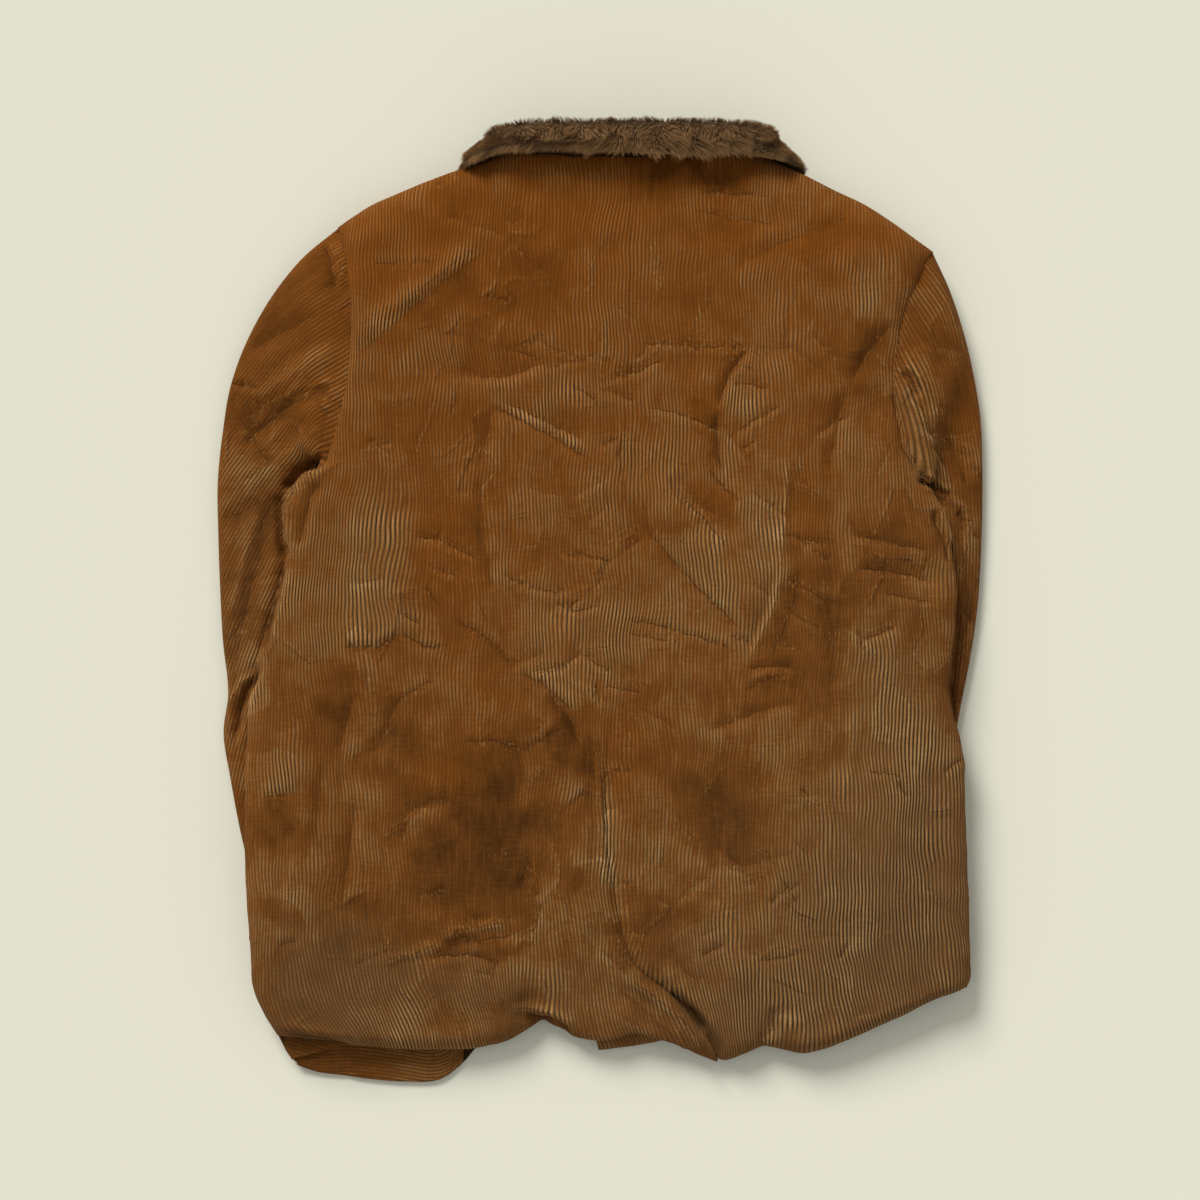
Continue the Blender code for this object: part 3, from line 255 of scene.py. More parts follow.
# The vent's free edges, from the hem to the vent's top, and the centre seam from there to the neck
VENT_FLAP_EDGE = table(PlanRow, (
    (101.5, -404.2), (98, -392.2), (87.7, -375.8), (77.4, -362.9), (65.4, -349.2), (51.6, -337.1),
    (38.7, -327.7), (29.2, -317.5), (21.5, -302), (17.2, -285), (12, -258), (6.9, -224), (2.6, -177),
))
VENT_UNDERLAP_EDGE = table(PlanRow, (
    (-0.9, -394.7), (-8.6, -357.8), (-14.6, -314.8), (-17.2, -271.8), (-13.8, -228.8), (-5.5, -200),
    (2.6, -177),
))
CENTRE_SEAM = table(PlanRow, (
    (2.6, -177), (6.5, -142.8), (11.5, -91.2), (17, -5.2), (22.4, 123.8), (25.8, 252.8), (27.5, 376),
))
CENTRE_FRONT = table(PlanRow, (
    (17, -364), (17, -100), (23, 150), (27, 318),
))

# The largest folds of the back: the line that each follows, its half width and its height, less than
# nothing for a trough
BACK_FOLDS = table(FoldRow, (
    (-206, 218, -103, 304, 16, 3), (-146, 201, -60, 188, 15, -3.2), (-86, 167, 0, 132, 12, -2.6),
    (17, 81, 120, -40, 14, -3), (40, 98, 137, -15, 13, 2.6), (159, 13, 125, -61, 15, -3.8),
    (262, 236, 224, 132, 18, -4.5), (292, 225, 236, 225, 16, 2.2), (103, 150, 116, 81, 14, -2.8),
    (140, 218, 172, 81, 20, 3.4), (-232, 98, -155, -40, 20, 3.2), (-190, 98, -120, -50, 18, -3),
    (-275, -40, -240, -340, 22, 3.6), (-225, -60, -205, -330, 20, -2.6), (-17, -30, 26, -110, 14, -2.6),
    (-80, -90, -10, -160, 18, 3), (-10, -190, -30, -330, 18, 3.6), (40, -190, 75, -320, 20, -3.4),
    (150, -386, 128, -330, 14, -4), (-52, -372, -70, -345, 12, -4.5), (-70, -345, -150, -330, 20, 3),
    (255, 30, 300, 10, 10, -3), (262, 0, 300, -20, 10, 2.6), (265, -110, 235, -330, 24, 3),
))

# Each sleeve's rings, from the armhole to the cuff: the inner and the outer fold with their heights, the
# heights of the upper and the lower layer, and how far the ring bows sideways
LEFT_RINGS = table(RingRow, (
    (-239, 108, 28, -226, 317, 24, 36.5, 6, 17.5), (-243, 103, 22, -262, 287, 13, 35, 1, 4),
    (-243, 97, 16, -288, 253, 11, 30, 0, 0), (-236, 88, 10, -307, 218, 10, 22.5, 0, 0),
    (-220, 75, 8.5, -320, 182, 9.5, 18, 0, 0), (-200, 58, 8.5, -327, 142, 9, 17.2, 0, 0),
    (-182, 35, 8.5, -331.5, 98, 8.5, 17, 0, 0), (-168, 8, 8.5, -331, 52, 8.5, 17, 0, 0),
    (-159, -23, 8.5, -329.5, 6, 8.5, 17, 0, 0), (-154, -57, 8.5, -327, -40, 8.5, 17, 0, 0),
    (-153, -92, 8.5, -322.5, -85, 8.5, 17, 0, 0), (-155, -128, 8.3, -326.5, -120, 8.3, 16.6, 0, 0),
    (-159, -164, 7.8, -320.5, -160, 7.8, 15.6, 0, 0), (-164, -205, 7.1, -312.5, -203, 7.1, 14.2, 0, 0),
    (-169, -248, 6.4, -302.5, -247, 6.4, 12.8, 0, 0), (-175, -288, 5.7, -294, -290, 5.7, 11.4, 0, 0),
))
RIGHT_RINGS = table(RingRow, (
    (279.5, 98, 28, 288.1, 295.8, 24, 36.5, 6, -30), (285, 94, 22, 303, 264, 13, 35, 1, -12),
    (286, 88, 15, 315.5, 227, 11, 29, 0, -5), (277, 79, 9.5, 324, 192, 10, 20.5, 0, 0),
    (260, 66, 8.5, 330, 155, 9.5, 17.5, 0, 0), (238, 50, 8.5, 332, 115, 9, 17, 0, 0),
    (215, 28, 8.5, 332, 72, 8.5, 17, 0, 0), (195, 0, 8.5, 330.5, 28, 8.5, 17, 0, 0),
    (179, -32, 8.5, 327.5, -14, 8.5, 17, 0, 0), (168, -66, 8.5, 321.5, -55, 8.5, 17, 0, 0),
    (160, -102, 8.4, 313.5, -96, 8.4, 16.8, 0, 0), (155, -142, 8, 306.5, -138, 8, 16, 0, 0),
    (151, -184, 7.4, 300.5, -182, 7.4, 14.8, 0, 0), (148, -223, 6.8, 294.5, -222, 6.8, 13.6, 0, 0),
    (145, -260, 6.2, 288.5, -261, 6.2, 12.4, 0, 0), (143, -296, 5.7, 282, -298, 5.7, 11.4, 0, 0),
))

# The collar, from its left end at the centre front, round the back of the neck, to its right end: the neck
# seam, the fold between stand and fall, and the fall's free edge. turn is the way the garment's outside faces
# there, in degrees about the wearer's height: 0 is up and 180 down on the surface.
COLLAR_ROWS = table(CollarRow, (
    (20, 320.5, 17.8, 18, 338, 20.5, -10, 262, 10, -180),
    (-8, 327.4, 17.8, -16, 345.5, 20.5, -48, 282, 10, -180),
    (-45, 343.8, 18, -56, 363.5, 21, -94, 316, 10, -170),
    (-66.5, 364.5, 21.8, -78, 384, 23.5, -113, 350, 8.8, -140),
    (-76, 376.5, 26, -86, 395, 29, -116.5, 370, 21, -105),
    (-77, 382.5, 30, -84.5, 396.5, 37, -110.5, 372.5, 38.5, -70),
    (-62, 381.5, 33.5, -64, 400, 46, -90, 379.5, 48.5, -25),
    (-20, 378.5, 35.5, -20, 401, 50, -34, 386, 54, 0), (27.5, 377.5, 36, 27.5, 401.2, 51, 27.5, 382, 55, 0),
    (75, 378.5, 35.5, 75, 401, 50, 85, 378, 54, 0), (116, 381.5, 33.5, 118.5, 400, 46, 130, 379, 49, 25),
    (132, 382.5, 30, 140, 397, 37, 162, 370.5, 38.5, 70),
    (131, 376.5, 26, 141.5, 392, 29, 171, 368, 21.5, 105),
    (121.8, 364.5, 21.8, 133, 383, 23.5, 170, 350, 8.8, 140),
    (100, 343.8, 18.5, 111, 363.5, 21, 149, 316, 10, 170),
    (63, 325.8, 19.5, 71, 345.5, 21, 103, 282, 10, 180), (34, 321, 21.2, 36, 338.5, 21.5, 64, 262, 10, 180),
))

# The shares of the left front's hem that its facing covers
FACING_SHARES = (0.105, 0.505)
FACING_INSET = 0.0020
FACING_DEPTH = 0.0300

# The turned-in corner of the left hem: its edge along the side seam, and its tip along the hem
HEM_CORNER_SIDE = table(PointRow, (
    (-274, -383, 12.5), (-264.5, -402, 11.8),
))
HEM_CORNER_TIP = table(PointRow, (
    (-213, -384, 7.6), (-214, -389, 7.6),
))
HEM_CORNER_BULGE = 0.0010


# The cloth's small shapes, and how finely the grids follow them
BODY_LENGTH = 0.75
HEM_CURL = 0.75
SEAM_DIP = 0.0005
SEAM_DIP_WIDTH = 0.0016
DIP_SCALE = 0.002
ARMHOLE_DIP = 0.0004
ARMHOLE_DIP_WIDTH = 0.0030
SLEEVE_HEAD_DIP = 0.0003
SLEEVE_HEAD_WIDTH = 0.0035
SEAM_TUCK = 0.0032
SEAM_OVERLAP = 0.0010
SEAM_STEP = 0.0003
FINE_SWELL = 0.0005
SLEEVE_SWELL_SHARE = 1.6
RIM_COLUMN_SHARE = 0.12
HEM_ZONE_ROWS = 6.0
ROW_SHARES = (0.035, 0.20, 0.94)
COLUMNS_PER_WALE = 3
OUTER_CROWDING = 0.85
FOLD_CROWDING = 0.35
RIM_SAMPLES = 160
INNER_SAMPLES = 640
EDGE_SAMPLES = 400
LEAN_SAMPLES = 600
ARMHOLE_POINTS = 9
ARMHOLE_LEAN = 60
FACING_PLEAT_X = -0.220
SLEEVE_DARKER = 0.09


class LeanRow(NamedTuple):
    """A height on a sleeve, its wales' turn from the horizontal in degrees, and the sleeve's middle there."""

    y: float
    turn: float
    middle: float


LEFT_LEAN = table(LeanRow, (
    (340, 42, -235), (180, 43, -275), (100, 54, -300), (0, 66, -300),
    (-100, 74, -300), (-200, 78, -290),
))
RIGHT_LEAN = table(LeanRow, (
    (310, 118, 265), (200, 108, 285), (100, 96, 305), (0, 88, 315),
    (-100, 82, 310), (-200, 80, 300),
))

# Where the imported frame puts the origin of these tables
FRAME_SHIFT = np.array([-0.00025, 0.007468, 0.000150])

# The cord's ribs
WALE_PITCH = 0.0031
WALE_RELIEF = 0.00050
FULLNESS = 0.62
FULLNESS_SLOPE = 0.7
FULLNESS_RANGE = (0.12, 1.15)

# Creases, and the lighter or darker cloth beside them: partly nap, partly painted light and shade on the
# folds' two sides. A millimetre is what their tables count in.
MM = 0.001
CREASE_WAVE = 0.0007
CREASE_FADE = 0.18
LIP_OFFSET = 1.7
LIP_SHARE = 0.40
NAP_EDGE = 0.0010
NAP_REACH = 0.013
PATCH_EDGE = 1.5
TONE_SHARE = 0.24
VENT_EASE = 0.0019
VENT_EASE_REACH = 0.004
VENT_CLOSED_DEPTH = 0.0034
LINE_SHARPNESS = 2.2
LINE_REACH = 0.0045
WRINKLE_NAP = 0.15


class DriftRow(NamedTuple):
    """A place where the wales are pulled sideways, its half widths, and how far."""

    x: float
    y: float
    width: float
    length: float
    pull: float


class NapAndShadeRow(NamedTuple):
    """A patch of nap tone or of painted light and shade, in millimetres: its place, half widths, turn in
    degrees, lightness and warmth.
    """

    x: float
    y: float
    width: float
    length: float
    turn: float
    light: float
    warm: float


class CreaseRow(NamedTuple):
    """A crease in millimetres: its places, half width, height and wear, and the lightness beside it, partly
    nap and partly painted light on one side and painted shade on the other.
    """

    places: tuple[Pair, ...]
    width: float
    height: float
    wear: float
    nap_and_shade: float


def creases(rows: Rows) -> tuple[CreaseRow, ...]:
    """A table's creases, from rows of half width, height, wear and nap, and then the places' x and y."""
    return tuple(CreaseRow(tuple(zip(row[4::2], row[5::2])), *row[:4]) for row in rows)


WALE_DRIFTS = table(DriftRow, (
    (-130, -415, 110, 75, -30), (-235, -400, 50, 40, -22), (-62, -372, 26, 30, 16), (40, -420, 60, 50, -20),
    (85, -390, 28, 40, -14), (240, -400, 90, 80, -18), (-210, -20, 50, 90, 10), (150, -20, 50, 60, -6),
    (-110, 250, 80, 70, 6), (285, 130, 40, 60, 14),
))

# Patches of lighter or darker cloth: partly the nap's own tone, partly painted light and shade that copies
# the back's folds, as painted highlights along ridges and painted shade in troughs.
NAP_AND_SHADE_PATCHES = tuple(NapAndShadeRow(*row) for row in (
    (-159, 253, 60, 12, 40, 0.4, 0), (-86, 266, 86, 28, 4, -0.6, 0.1), (-162, 203, 57, 12, 5, 0.45, 0),
    (-185, 272, 19, 21, 20, -0.15, 0.45), (-172, 303, 60, 30, 20, -0.15, 0.3),
    (-34, 325, 77, 22, 0, -0.05, 0.4), (77, 359, 64, 14, 0, -0.6, 0.1), (125, 309, 52, 24, -20, -0.4, 0.25),
    (206, 304, 52, 26, 15, -0.15, 0.45), (241, 249, 22, 29, 0, 0.35, -0.35),
    (232, 210, 15, 52, -20, -0.6, 0.05), (163, 184, 34, 77, -8, 0.15, 0.05),
    (127, 165, 14, 22, 0, 0.55, -0.1), (86, 180, 19, 47, 0, -0.25, 0.2), (0, 253, 21, 52, 0, 0.2, 0.15),
    (-39, 167, 43, 12, 20, 0.4, 0), (-112, 98, 19, 14, 0, 0.25, 0.2), (-129, 42, 29, 43, 10, -0.45, 0.3),
    (-101, 81, 9, 82, 2, -0.3, -0.1), (-194, 29, 29, 67, 4, 0.6, -0.35), (-249, -22, 33, 64, 0, 0.35, -0.15),
    (-34, 72, 52, 34, 0, 0.1, -0.1), (-17, 107, 26, 19, 0, 0.2, 0.15), (52, 124, 34, 52, 0, 0.35, 0.1),
    (96, 81, 29, 15, -30, -0.5, 0.15), (58, 60, 24, 10, 0, -0.55, 0.2), (86, 12, 52, 43, -40, 0.45, -0.15),
    (17, -40, 30, 40, 0, 0.35, 0), (144, 46, 14, 90, 6, 0.5, -0.2), (179, 81, 12, 47, 0, -0.3, 0.45),
    (200, -14, 17, 95, 0, -0.45, -0.05), (159, -64, 29, 19, 10, -0.65, 0.1),
    (245, 29, 43, 39, 0, -0.25, -0.1), (249, -83, 43, 77, 0, 0.25, -0.25), (-43, -22, 45, 29, 0, 0.3, -0.05),
    (-112, -83, 31, 43, 10, 0.05, 0.15), (-219, -91, 21, 52, 8, -0.5, -0.1),
    (-172, -113, 21, 34, 20, -0.5, -0.1), (-194, -91, 9, 52, 8, 0.3, -0.1),
    (-271, -143, 19, 36, 0, 0.3, 0.05), (-275, -190, 22, 17, 0, -0.45, 0), (-108, -203, 65, 86, 0, -0.95, 0),
    (-22, -124, 29, 34, 0, -0.6, 0), (-138, -151, 34, 22, 0, 0.05, 0.35),
    (103, -169, 38, 55, 0, -0.65, -0.05), (22, -151, 22, 52, 0, -0.05, 0.3), (47, -289, 31, 31, 0, -0.55, 0),
    (3, -212, 7, 52, 2, 0.4, -0.15), (86, -306, 29, 22, 20, 0.25, -0.15), (241, -263, 86, 95, 0, 0.25, -0.45),
    (138, -358, 69, 31, 0, 0.25, -0.35), (284, -160, 29, 60, 0, 0.3, -0.25),
    (-112, -336, 95, 22, -4, 0.05, -0.3), (-235, -330, 66, 60, 0, -0.42, -0.45),
    # The rows at (-10, 377) and (75, 366), with (77, 359) above, are painted shadow: the collar's shadow on
    # the back just below its edge.
    (-10, 377, 55, 7, -5, -0.7, 0.1), (75, 366, 45, 7, -8, -0.8, 0.1), (-103, -285, 52, 8, -10, 0.3, 0.2),
    (-95, -299, 43, 8, -10, -0.5, 0.05), (17, -349, 29, 34, 0, 0.15, 0), (-267, 253, 52, 52, 0, -0.45, -0.25),
    (-305, 167, 34, 52, 0, -0.2, -0.25), (-292, 81, 43, 52, 0, -0.05, -0.5),
    (-310, -22, 34, 77, 0, -0.1, -0.5), (310, 227, 21, 69, 12, -0.05, -0.1),
    (316, 150, 14, 52, 0, -0.35, 0.3), (322, 29, 17, 77, 0, -0.1, -0.2), (275, 140, 13, 46, 25, 0.2, -0.35),
))

CREASES = creases((
    (6, -1, 0.1, -0.55, -215, 200, -138, 265, -86, 304), (5, -0.8, 0.1, -0.35, -86, 304, -45, 306),
    (6, 0.9, 0.6, 0, -215, 227, -155, 261, -105, 299),
    (4.5, -1.7, 0.3, 0.35, -127, 191, -86, 187, -41, 200),
    (2.4, -0.9, 0.2, 0.1, -86, 214, -64, 207, -41, 194), (2.4, -0.8, 0.5, 0, -53, 217, -15, 203),
    (2.6, -0.9, 0.5, 0.1, -47, 194, 2, 208), (2.4, -1, 0.3, 0, -24, 180, 2, 164),
    (4, -1.3, 0.3, 0.2, -2, 177, 34, 166), (3, -1.9, 0.2, -0.45, -100, 166, -55, 144, -2, 113),
    (2.8, -1.5, 0.4, 0.4, -86, 168, -43, 147, -9, 132), (7, -1.6, 0, -0.25, -91, 163, -105, 107),
    (7, -1.4, 0, -0.3, -105, 107, -101, 55, -91, -2), (2.6, -1, 0.5, 0, -201, 132, -177, 130),
    (2.8, -1.1, 0.6, 0.1, -2, 127, 17, 135, 38, 132), (2.6, -0.8, 0.3, -0.3, -201, 284, -136, 286),
    (2.4, 0.5, 1, 0, -9, 304, -7, 251), (2.4, 0.5, 1, 0, 5, 246, 3, 191),
    (3.6, -0.9, 0.2, 0.2, -139, 327, -76, 308), (3, -1.5, 1, 0.25, -162, 51, -136, 46, -100, 28),
    (2.6, -1.2, 1, 0.2, -148, 27, -122, 14), (2.6, -1.2, 0.3, 0, -151, 9, -138, -9),
    (3.6, -2, 0, -0.7, -222, -44, -191, -45, -170, -33), (2.8, -1.4, 0.2, 0, -174, -15, -153, -26),
    (2.8, -1.4, 0.4, -0.2, -172, -33, -150, -44, -134, -50),
    (3.2, -1.7, 0.3, -0.35, -127, -21, -101, -34, -69, -64),
    (3.4, -1.8, 0.3, -0.45, -69, -64, -41, -84, -17, -105),
    (3, -1.5, 0.8, 0.2, -62, -66, -34, -63, -12, -49), (3, -1.6, 0.7, 0.1, -14, -51, 0, -62, 14, -66),
    (2.6, -1.1, 0.9, 0.1, -86, 21, -71, 10, -46, 3, -22, 2), (3, -1.5, 0.7, 0, -40, -5, -24, -14, 2, -9),
    (2.6, -1.1, 0.5, 0.1, -38, 37, 14, 28), (3, -1.4, 0.6, 0, -29, -15, -17, -2),
    (3.4, -1.8, 0.6, 0.2, -3, -74, 0, -96), (3, 1, 1, 0, -33, -71, -9, -83, 5, -101),
    (3.2, -1.7, 0.6, -0.2, -120, -126, -93, -125, -65, -133),
    (6, -1.6, 0, -0.45, -218, -144, -196, -132, -170, -110), (8, -1.6, 0, -0.35, -210, -83, -225, -139),
    (7, -1.4, 0, -0.3, -169, -83, -194, -139), (4, -1.4, 0.5, -0.65, -291, -175, -258, -169),
    (6, -1.6, 0, -0.2, -210, -174, -215, -220, -222, -267), (6, -1.2, 0, -0.2, -239, -143, -243, -212),
    (6, 1, 0.1, 0.2, -258, -220, -268, -263), (5, -2, 0, -0.5, -46, -83, -24, -110, -15, -132),
    (3.4, -1.5, 0.3, -0.3, -69, -136, -45, -122, -31, -112), (4, 1.6, 1, 0.35, -139, -292, -76, -281),
    (5, -1.8, 0, 0, -138, -304, -65, -291), (4, 1.3, 1, 0.2, -189, -316, -132, -299),
    (3.4, -1.6, 0.2, 0.1, -151, -312, -112, -310, -83, -320),
    (5, -1, 0.2, -0.2, -76, -220, -60, -229, -69, -255), (4, -0.9, 0.6, 0.3, -169, -187, -127, -177),
    (3, 0.8, 0.8, 0.1, -189, -207, -155, -190), (4, 1.3, 0.5, -0.3, -3, -105, 3, -177, 5, -229, 11, -267),
    (6, -1, 0, 0, -10, -108, -7, -177, -3, -246), (2.6, -1.1, 0.8, 0.15, 28, 217, 86, 213, 138, 214),
    (3, -1.3, 0.6, 0.15, 7, 185, 36, 193, 58, 204), (2.8, -1.4, 0.9, 0.2, 41, 163, 86, 149, 110, 138),
    (4, -2.2, 0.1, -0.45, 131, 216, 115, 196, 107, 179, 101, 158),
    (4.5, -2, 0.1, -0.45, 101, 158, 101, 132, 106, 100), (2.6, -1.1, 0.6, 0, 110, 184, 148, 176),
    (2.6, -1.1, 0.6, 0.1, 115, 140, 157, 163), (2.4, -1, 0.5, 0, 119, 123, 136, 133),
    (4, -0.8, 0.3, 0, 163, 255, 160, 203), (8, -2.2, 0, -0.35, 255, 237, 229, 206, 215, 179),
    (8, -2, 0, -0.35, 215, 179, 206, 157, 196, 100), (6, -1.2, 0.1, 0.25, 222, 327, 148, 299, 101, 277),
    (2.6, -0.9, 0.5, 0, 86, 347, 148, 342), (2.8, -0.9, 0.5, -0.1, 79, 330, 157, 316),
    (3, -1.2, 0.5, 0.2, 182, 136, 217, 155), (2.4, 0.4, 1, 0, 45, 311, 52, 253),
    (2.4, 0.4, 0.9, 0, 86, 253, 91, 208), (2.8, -1.5, 0.3, -0.3, 35, 65, 52, 42, 88, 2, 127, -34),
    (2.6, 1.1, 1, 0.25, 60, 96, 88, 67, 115, 34), (4.5, -1.3, 0.1, 0, 77, 81, 103, 69),
    (2.8, -1.6, 0.4, -0.3, 93, 108, 122, 79), (2.6, -1.2, 0.5, 0.1, 129, 91, 148, 78, 167, 62),
    (2.8, -1.4, 0.4, 0.1, 151, 52, 174, 48, 208, 41), (2.8, -1.1, 0.7, 0, 172, 46, 200, 28),
    (4, 1, 0.2, 0.55, 163, 120, 160, 64, 157, 24), (4, 1.7, 0.2, 0.45, 157, 24, 150, -14, 129, -57),
    (6, -2.4, 0, 0, 172, 29, 165, -14, 144, -58), (4, -2.6, 0, 0.35, 126, -64, 144, -60, 169, -64),
    (2.6, -1, 1, 0, 158, 16, 182, 3, 193, -7), (2.6, -1, 1, 0, 155, -9, 179, -23, 191, -33),
    (2.4, -0.9, 0.5, 0, 131, 12, 148, -2), (9, -1.8, 0, -0.15, 193, 107, 198, 29, 201, -48, 196, -113),
    (2.8, -1.3, 0.6, -0.15, 15, -19, 53, -27, 88, -38, 122, -50), (2.4, -1, 0.4, 0, 24, -33, 62, -40),
    (2.6, -1.2, 0.5, 0, 2, -79, 38, -84), (3, -1.7, 0.3, 0.2, 213, 52, 260, 42, 287, 38),
    (3.2, -1.6, 0.3, 0.2, 217, 22, 251, 20, 289, 10), (3, 1.2, 0.8, 0, 225, 36, 286, 24),
    (3, -1.2, 0.3, 0.1, 241, 2, 287, -7), (2.8, -1.5, 0.4, 0.1, 222, -40, 241, -34, 256, -26),
    (3, -1.4, 0.3, 0, 222, -29, 227, -50), (3.4, -1.2, 0.3, -0.2, 122, -83, 165, -65),
    (5, -1.2, 0.1, 0.3, 86, -119, 138, -101, 172, -91), (5, 0.9, 0.2, 0.2, 220, -91, 217, -143, 212, -177),
    (2.6, -1.1, 0.3, 0, 230, -152, 260, -156), (3, -1.6, 0.1, 0, 255, -160, 264, -175),
    (3, -1.5, 0.3, 0, 172, -165, 182, -177), (3, 1.2, 1, 0, 282, -187, 303, -184),
    (3, -1.6, 0.1, 0, 294, -153, 313, -141), (3.2, -1.4, 0.2, 0.2, 143, -266, 174, -246),
    (3, -1.4, 0.2, 0, 86, -312, 108, -300), (5, -1.1, 0.1, 0.1, 64, -315, 88, -336),
    (7, 1, 0.2, 0.25, 48, -301, 86, -280, 129, -263), (5, -0.8, 0.2, 0.2, 89, -236, 138, -230, 172, -220),
    (7, -1.4, 0, 0.2, 134, -387, 150, -366, 169, -353), (2.6, -1, 0.2, 0, 205, -315, 213, -298),
    (2.4, -0.9, 0.6, 0, 105, -263, 110, -273), (2.6, 1, 1, 0, 88, -165, 98, -163),
    (4, -1.2, 0.1, -0.2, -279, -301, -258, -298), (7, -1, 0, -0.2, -277, -182, -258, -205),
    (5.5, -2.6, 0, -0.35, 60, -340, 71, -352, 81, -364, 93, -380),
    (6, -1.4, 0, -0.2, 36, -323, 48, -330, 60, -340),
    (5, 2.6, 0.3, 0.3, 22, -320, 34, -335, 55, -352, 76, -370, 93, -396),
    (7, -1.8, 0, -0.15, 10, -337, 34, -354, 58, -375, 74, -394),
    (7, 1.2, 0.2, 0.2, 9, -358, 34, -372, 52, -384), (4, -3, 0, -0.5, -65, -363, -45, -367, -22, -378),
    (4, 1.6, 0.3, 0, -79, -356, -57, -358, -38, -363), (4, -2, 0, -0.3, -273, -375, -258, -380, -213, -389),
    (8, 1, 0.1, 0.2, 77, -310, 96, -341, 105, -384), (5, -1.8, 0, 0.2, 138, -389, 148, -375, 151, -354),
    (7, 1, 0.1, 0.1, 172, -394, 182, -375, 189, -349), (8, -1, 0, 0.1, -34, -246, -29, -298, -34, -349),
))

ARMPIT_FOLDS = creases((
    (6, 1.1, 0.3, -0.5, 256, 184, 276, 150, 291, 116, 303, 90),
    (4, -1.7, 0, 0, 262, 186, 282, 150, 297, 116, 309, 88),
    (2.6, -1.3, 0, -0.3, 252, 184, 255, 152, 262, 124, 274, 103),
    (3.2, -3.4, 0, -0.5, 272, 102, 286, 95, 306, 84),
    (3.4, 1.5, 0.4, 0, 275, 96, 291, 89, 308, 79, 323, 70), (3.4, -3.6, 0, -0.4, 286, 74, 297, 46, 304, 24),
    (5, 1.8, 0.2, 0, 295, 78, 302, 62, 301, 42), (2.8, -2.4, 0, -0.3, 309, 71, 316, 62),
    (4, 2, 0.2, 0, 311, 67, 322, 63, 316, 33, 307, 9),
    (4, -2.5, 0, -0.3, 308, 3, 311, -40, 307, -83, 310, -121),
    (4.6, -6.5, 0, -0.5, -236, 120, -248, 112, -261, 102, -275, 91),
    (4.4, 3.2, 0.5, 0.35, -236, 103, -256, 100, -266, 88, -269, 65, -266, 40),
    (5, -2.4, 0, -0.2, -239, 98, -250, 81, -255, 59, -261, 38),
    (5, -4.5, 0, -0.5, -276, 88, -276, 55, -270, 29),
    (4, -2.4, 0, -0.2, -270, 33, -273, 16, -282, -15, -291, -52),
    (4, -3.5, 0, -0.4, -291, -58, -304, -83, -313, -104, -317, -132),
))

SLEEVE_FOLDS = creases((
    (8, -2.4, 0, -0.2, -228, 180, -261, 169, -291, 145, -316, 127),
    (8, 1.8, 0.3, 0.25, -219, 214, -258, 193, -297, 165), (9, 2, 0.2, 0, -234, 145, -270, 119, -313, 96),
    (8, -1.4, 0, -0.2, -239, 243, -272, 227, -310, 208),
    (3.6, -1.8, 0.2, -0.3, -239, 303, -231, 282, -227, 260),
    (4, 1.2, 0.4, 0, -232, 308, -224, 286, -219, 261), (3, -2.4, 0, 0, -325, 184, -306, 181),
    (7, -2, 0, -0.2, -332, 64, -313, 71, -291, 81),
    (8, -2, 0, -0.15, -279, 77, -296, 29, -309, -22, -318, -77),
    (7, 1.6, 0.2, 0.2, -291, 81, -307, 29, -321, -27), (7, -2, 0, -0.2, -258, 98, -282, 81, -301, 46),
    (4, 2, 0.2, 0.3, -291, -64, -310, -77, -325, -101), (5, 1.6, 0.2, 0, -322, -83, -325, -108, -316, -132),
    (7, 1.6, 0.2, 0.25, 275, 299, 298, 260, 315, 210), (8, -1.6, 0, -0.15, 268, 256, 284, 223, 299, 191),
    (6, 1.6, 0.2, 0.25, 263, 214, 282, 180, 294, 145), (4, -2.8, 0, -0.2, 258, 191, 268, 186, 277, 170),
    (8, -1.8, 0, -0.35, 298, 150, 308, 120, 320, 93), (7, -1.8, 0, -0.15, 311, 64, 320, -5, 315, -83),
    (4, -1.2, 0, 0, 315, -40, 322, -14, 330, 29),
))


def plan_shares(rows: Rows) -> Array:
    """Each row's share of the line's length in plan.

    Args:
        rows: the line's rows, which start with x and y.

    Returns:
        One share from 0 to 1 for each row.
    """
    points = np.array(rows, float)
    steps = np.linalg.norm(np.diff(points[:, :2], axis=0), axis=1)
    return np.concatenate([[0.0], np.cumsum(steps)]) / steps.sum()


def hermite(points: Array, knots: Array, share: Array) -> Array:
    """A smooth line through points.

    Args:
        points: the line's points, one row for each knot, of any further shape.
        knots: where along the line each point lies.
        share: the places asked for.

    Returns:
        The line at those places.
    """
    slopes = np.gradient(points, knots, axis=0)
    share = np.clip(np.asarray(share, float), knots[0], knots[-1])
    low = np.clip(np.searchsorted(knots, share, side="right") - 1, 0, len(knots) - 2)
    extra = (None,) * (points.ndim - 1)
    span = (knots[low + 1] - knots[low])[(..., *extra)]
    f = (share - knots[low])[(..., *extra)] / span
    start = (1 + 2 * f) * (1 - f) ** 2 * points[low] + f * (1 - f) ** 2 * span * slopes[low]
    end = f**2 * (3 - 2 * f) * points[low + 1] + f**2 * (f - 1) * span * slopes[low + 1]
    return start + end


def spline(rows: Rows) -> Line:
    """A smooth line through the rows.

    Args:
        rows: the line's rows, which start with x and y.

    Returns:
        A function of the share of the line's length in plan.
    """
    points = np.array(rows, float)
    knots = plan_shares(rows)
    return lambda share: hermite(points, knots, share)


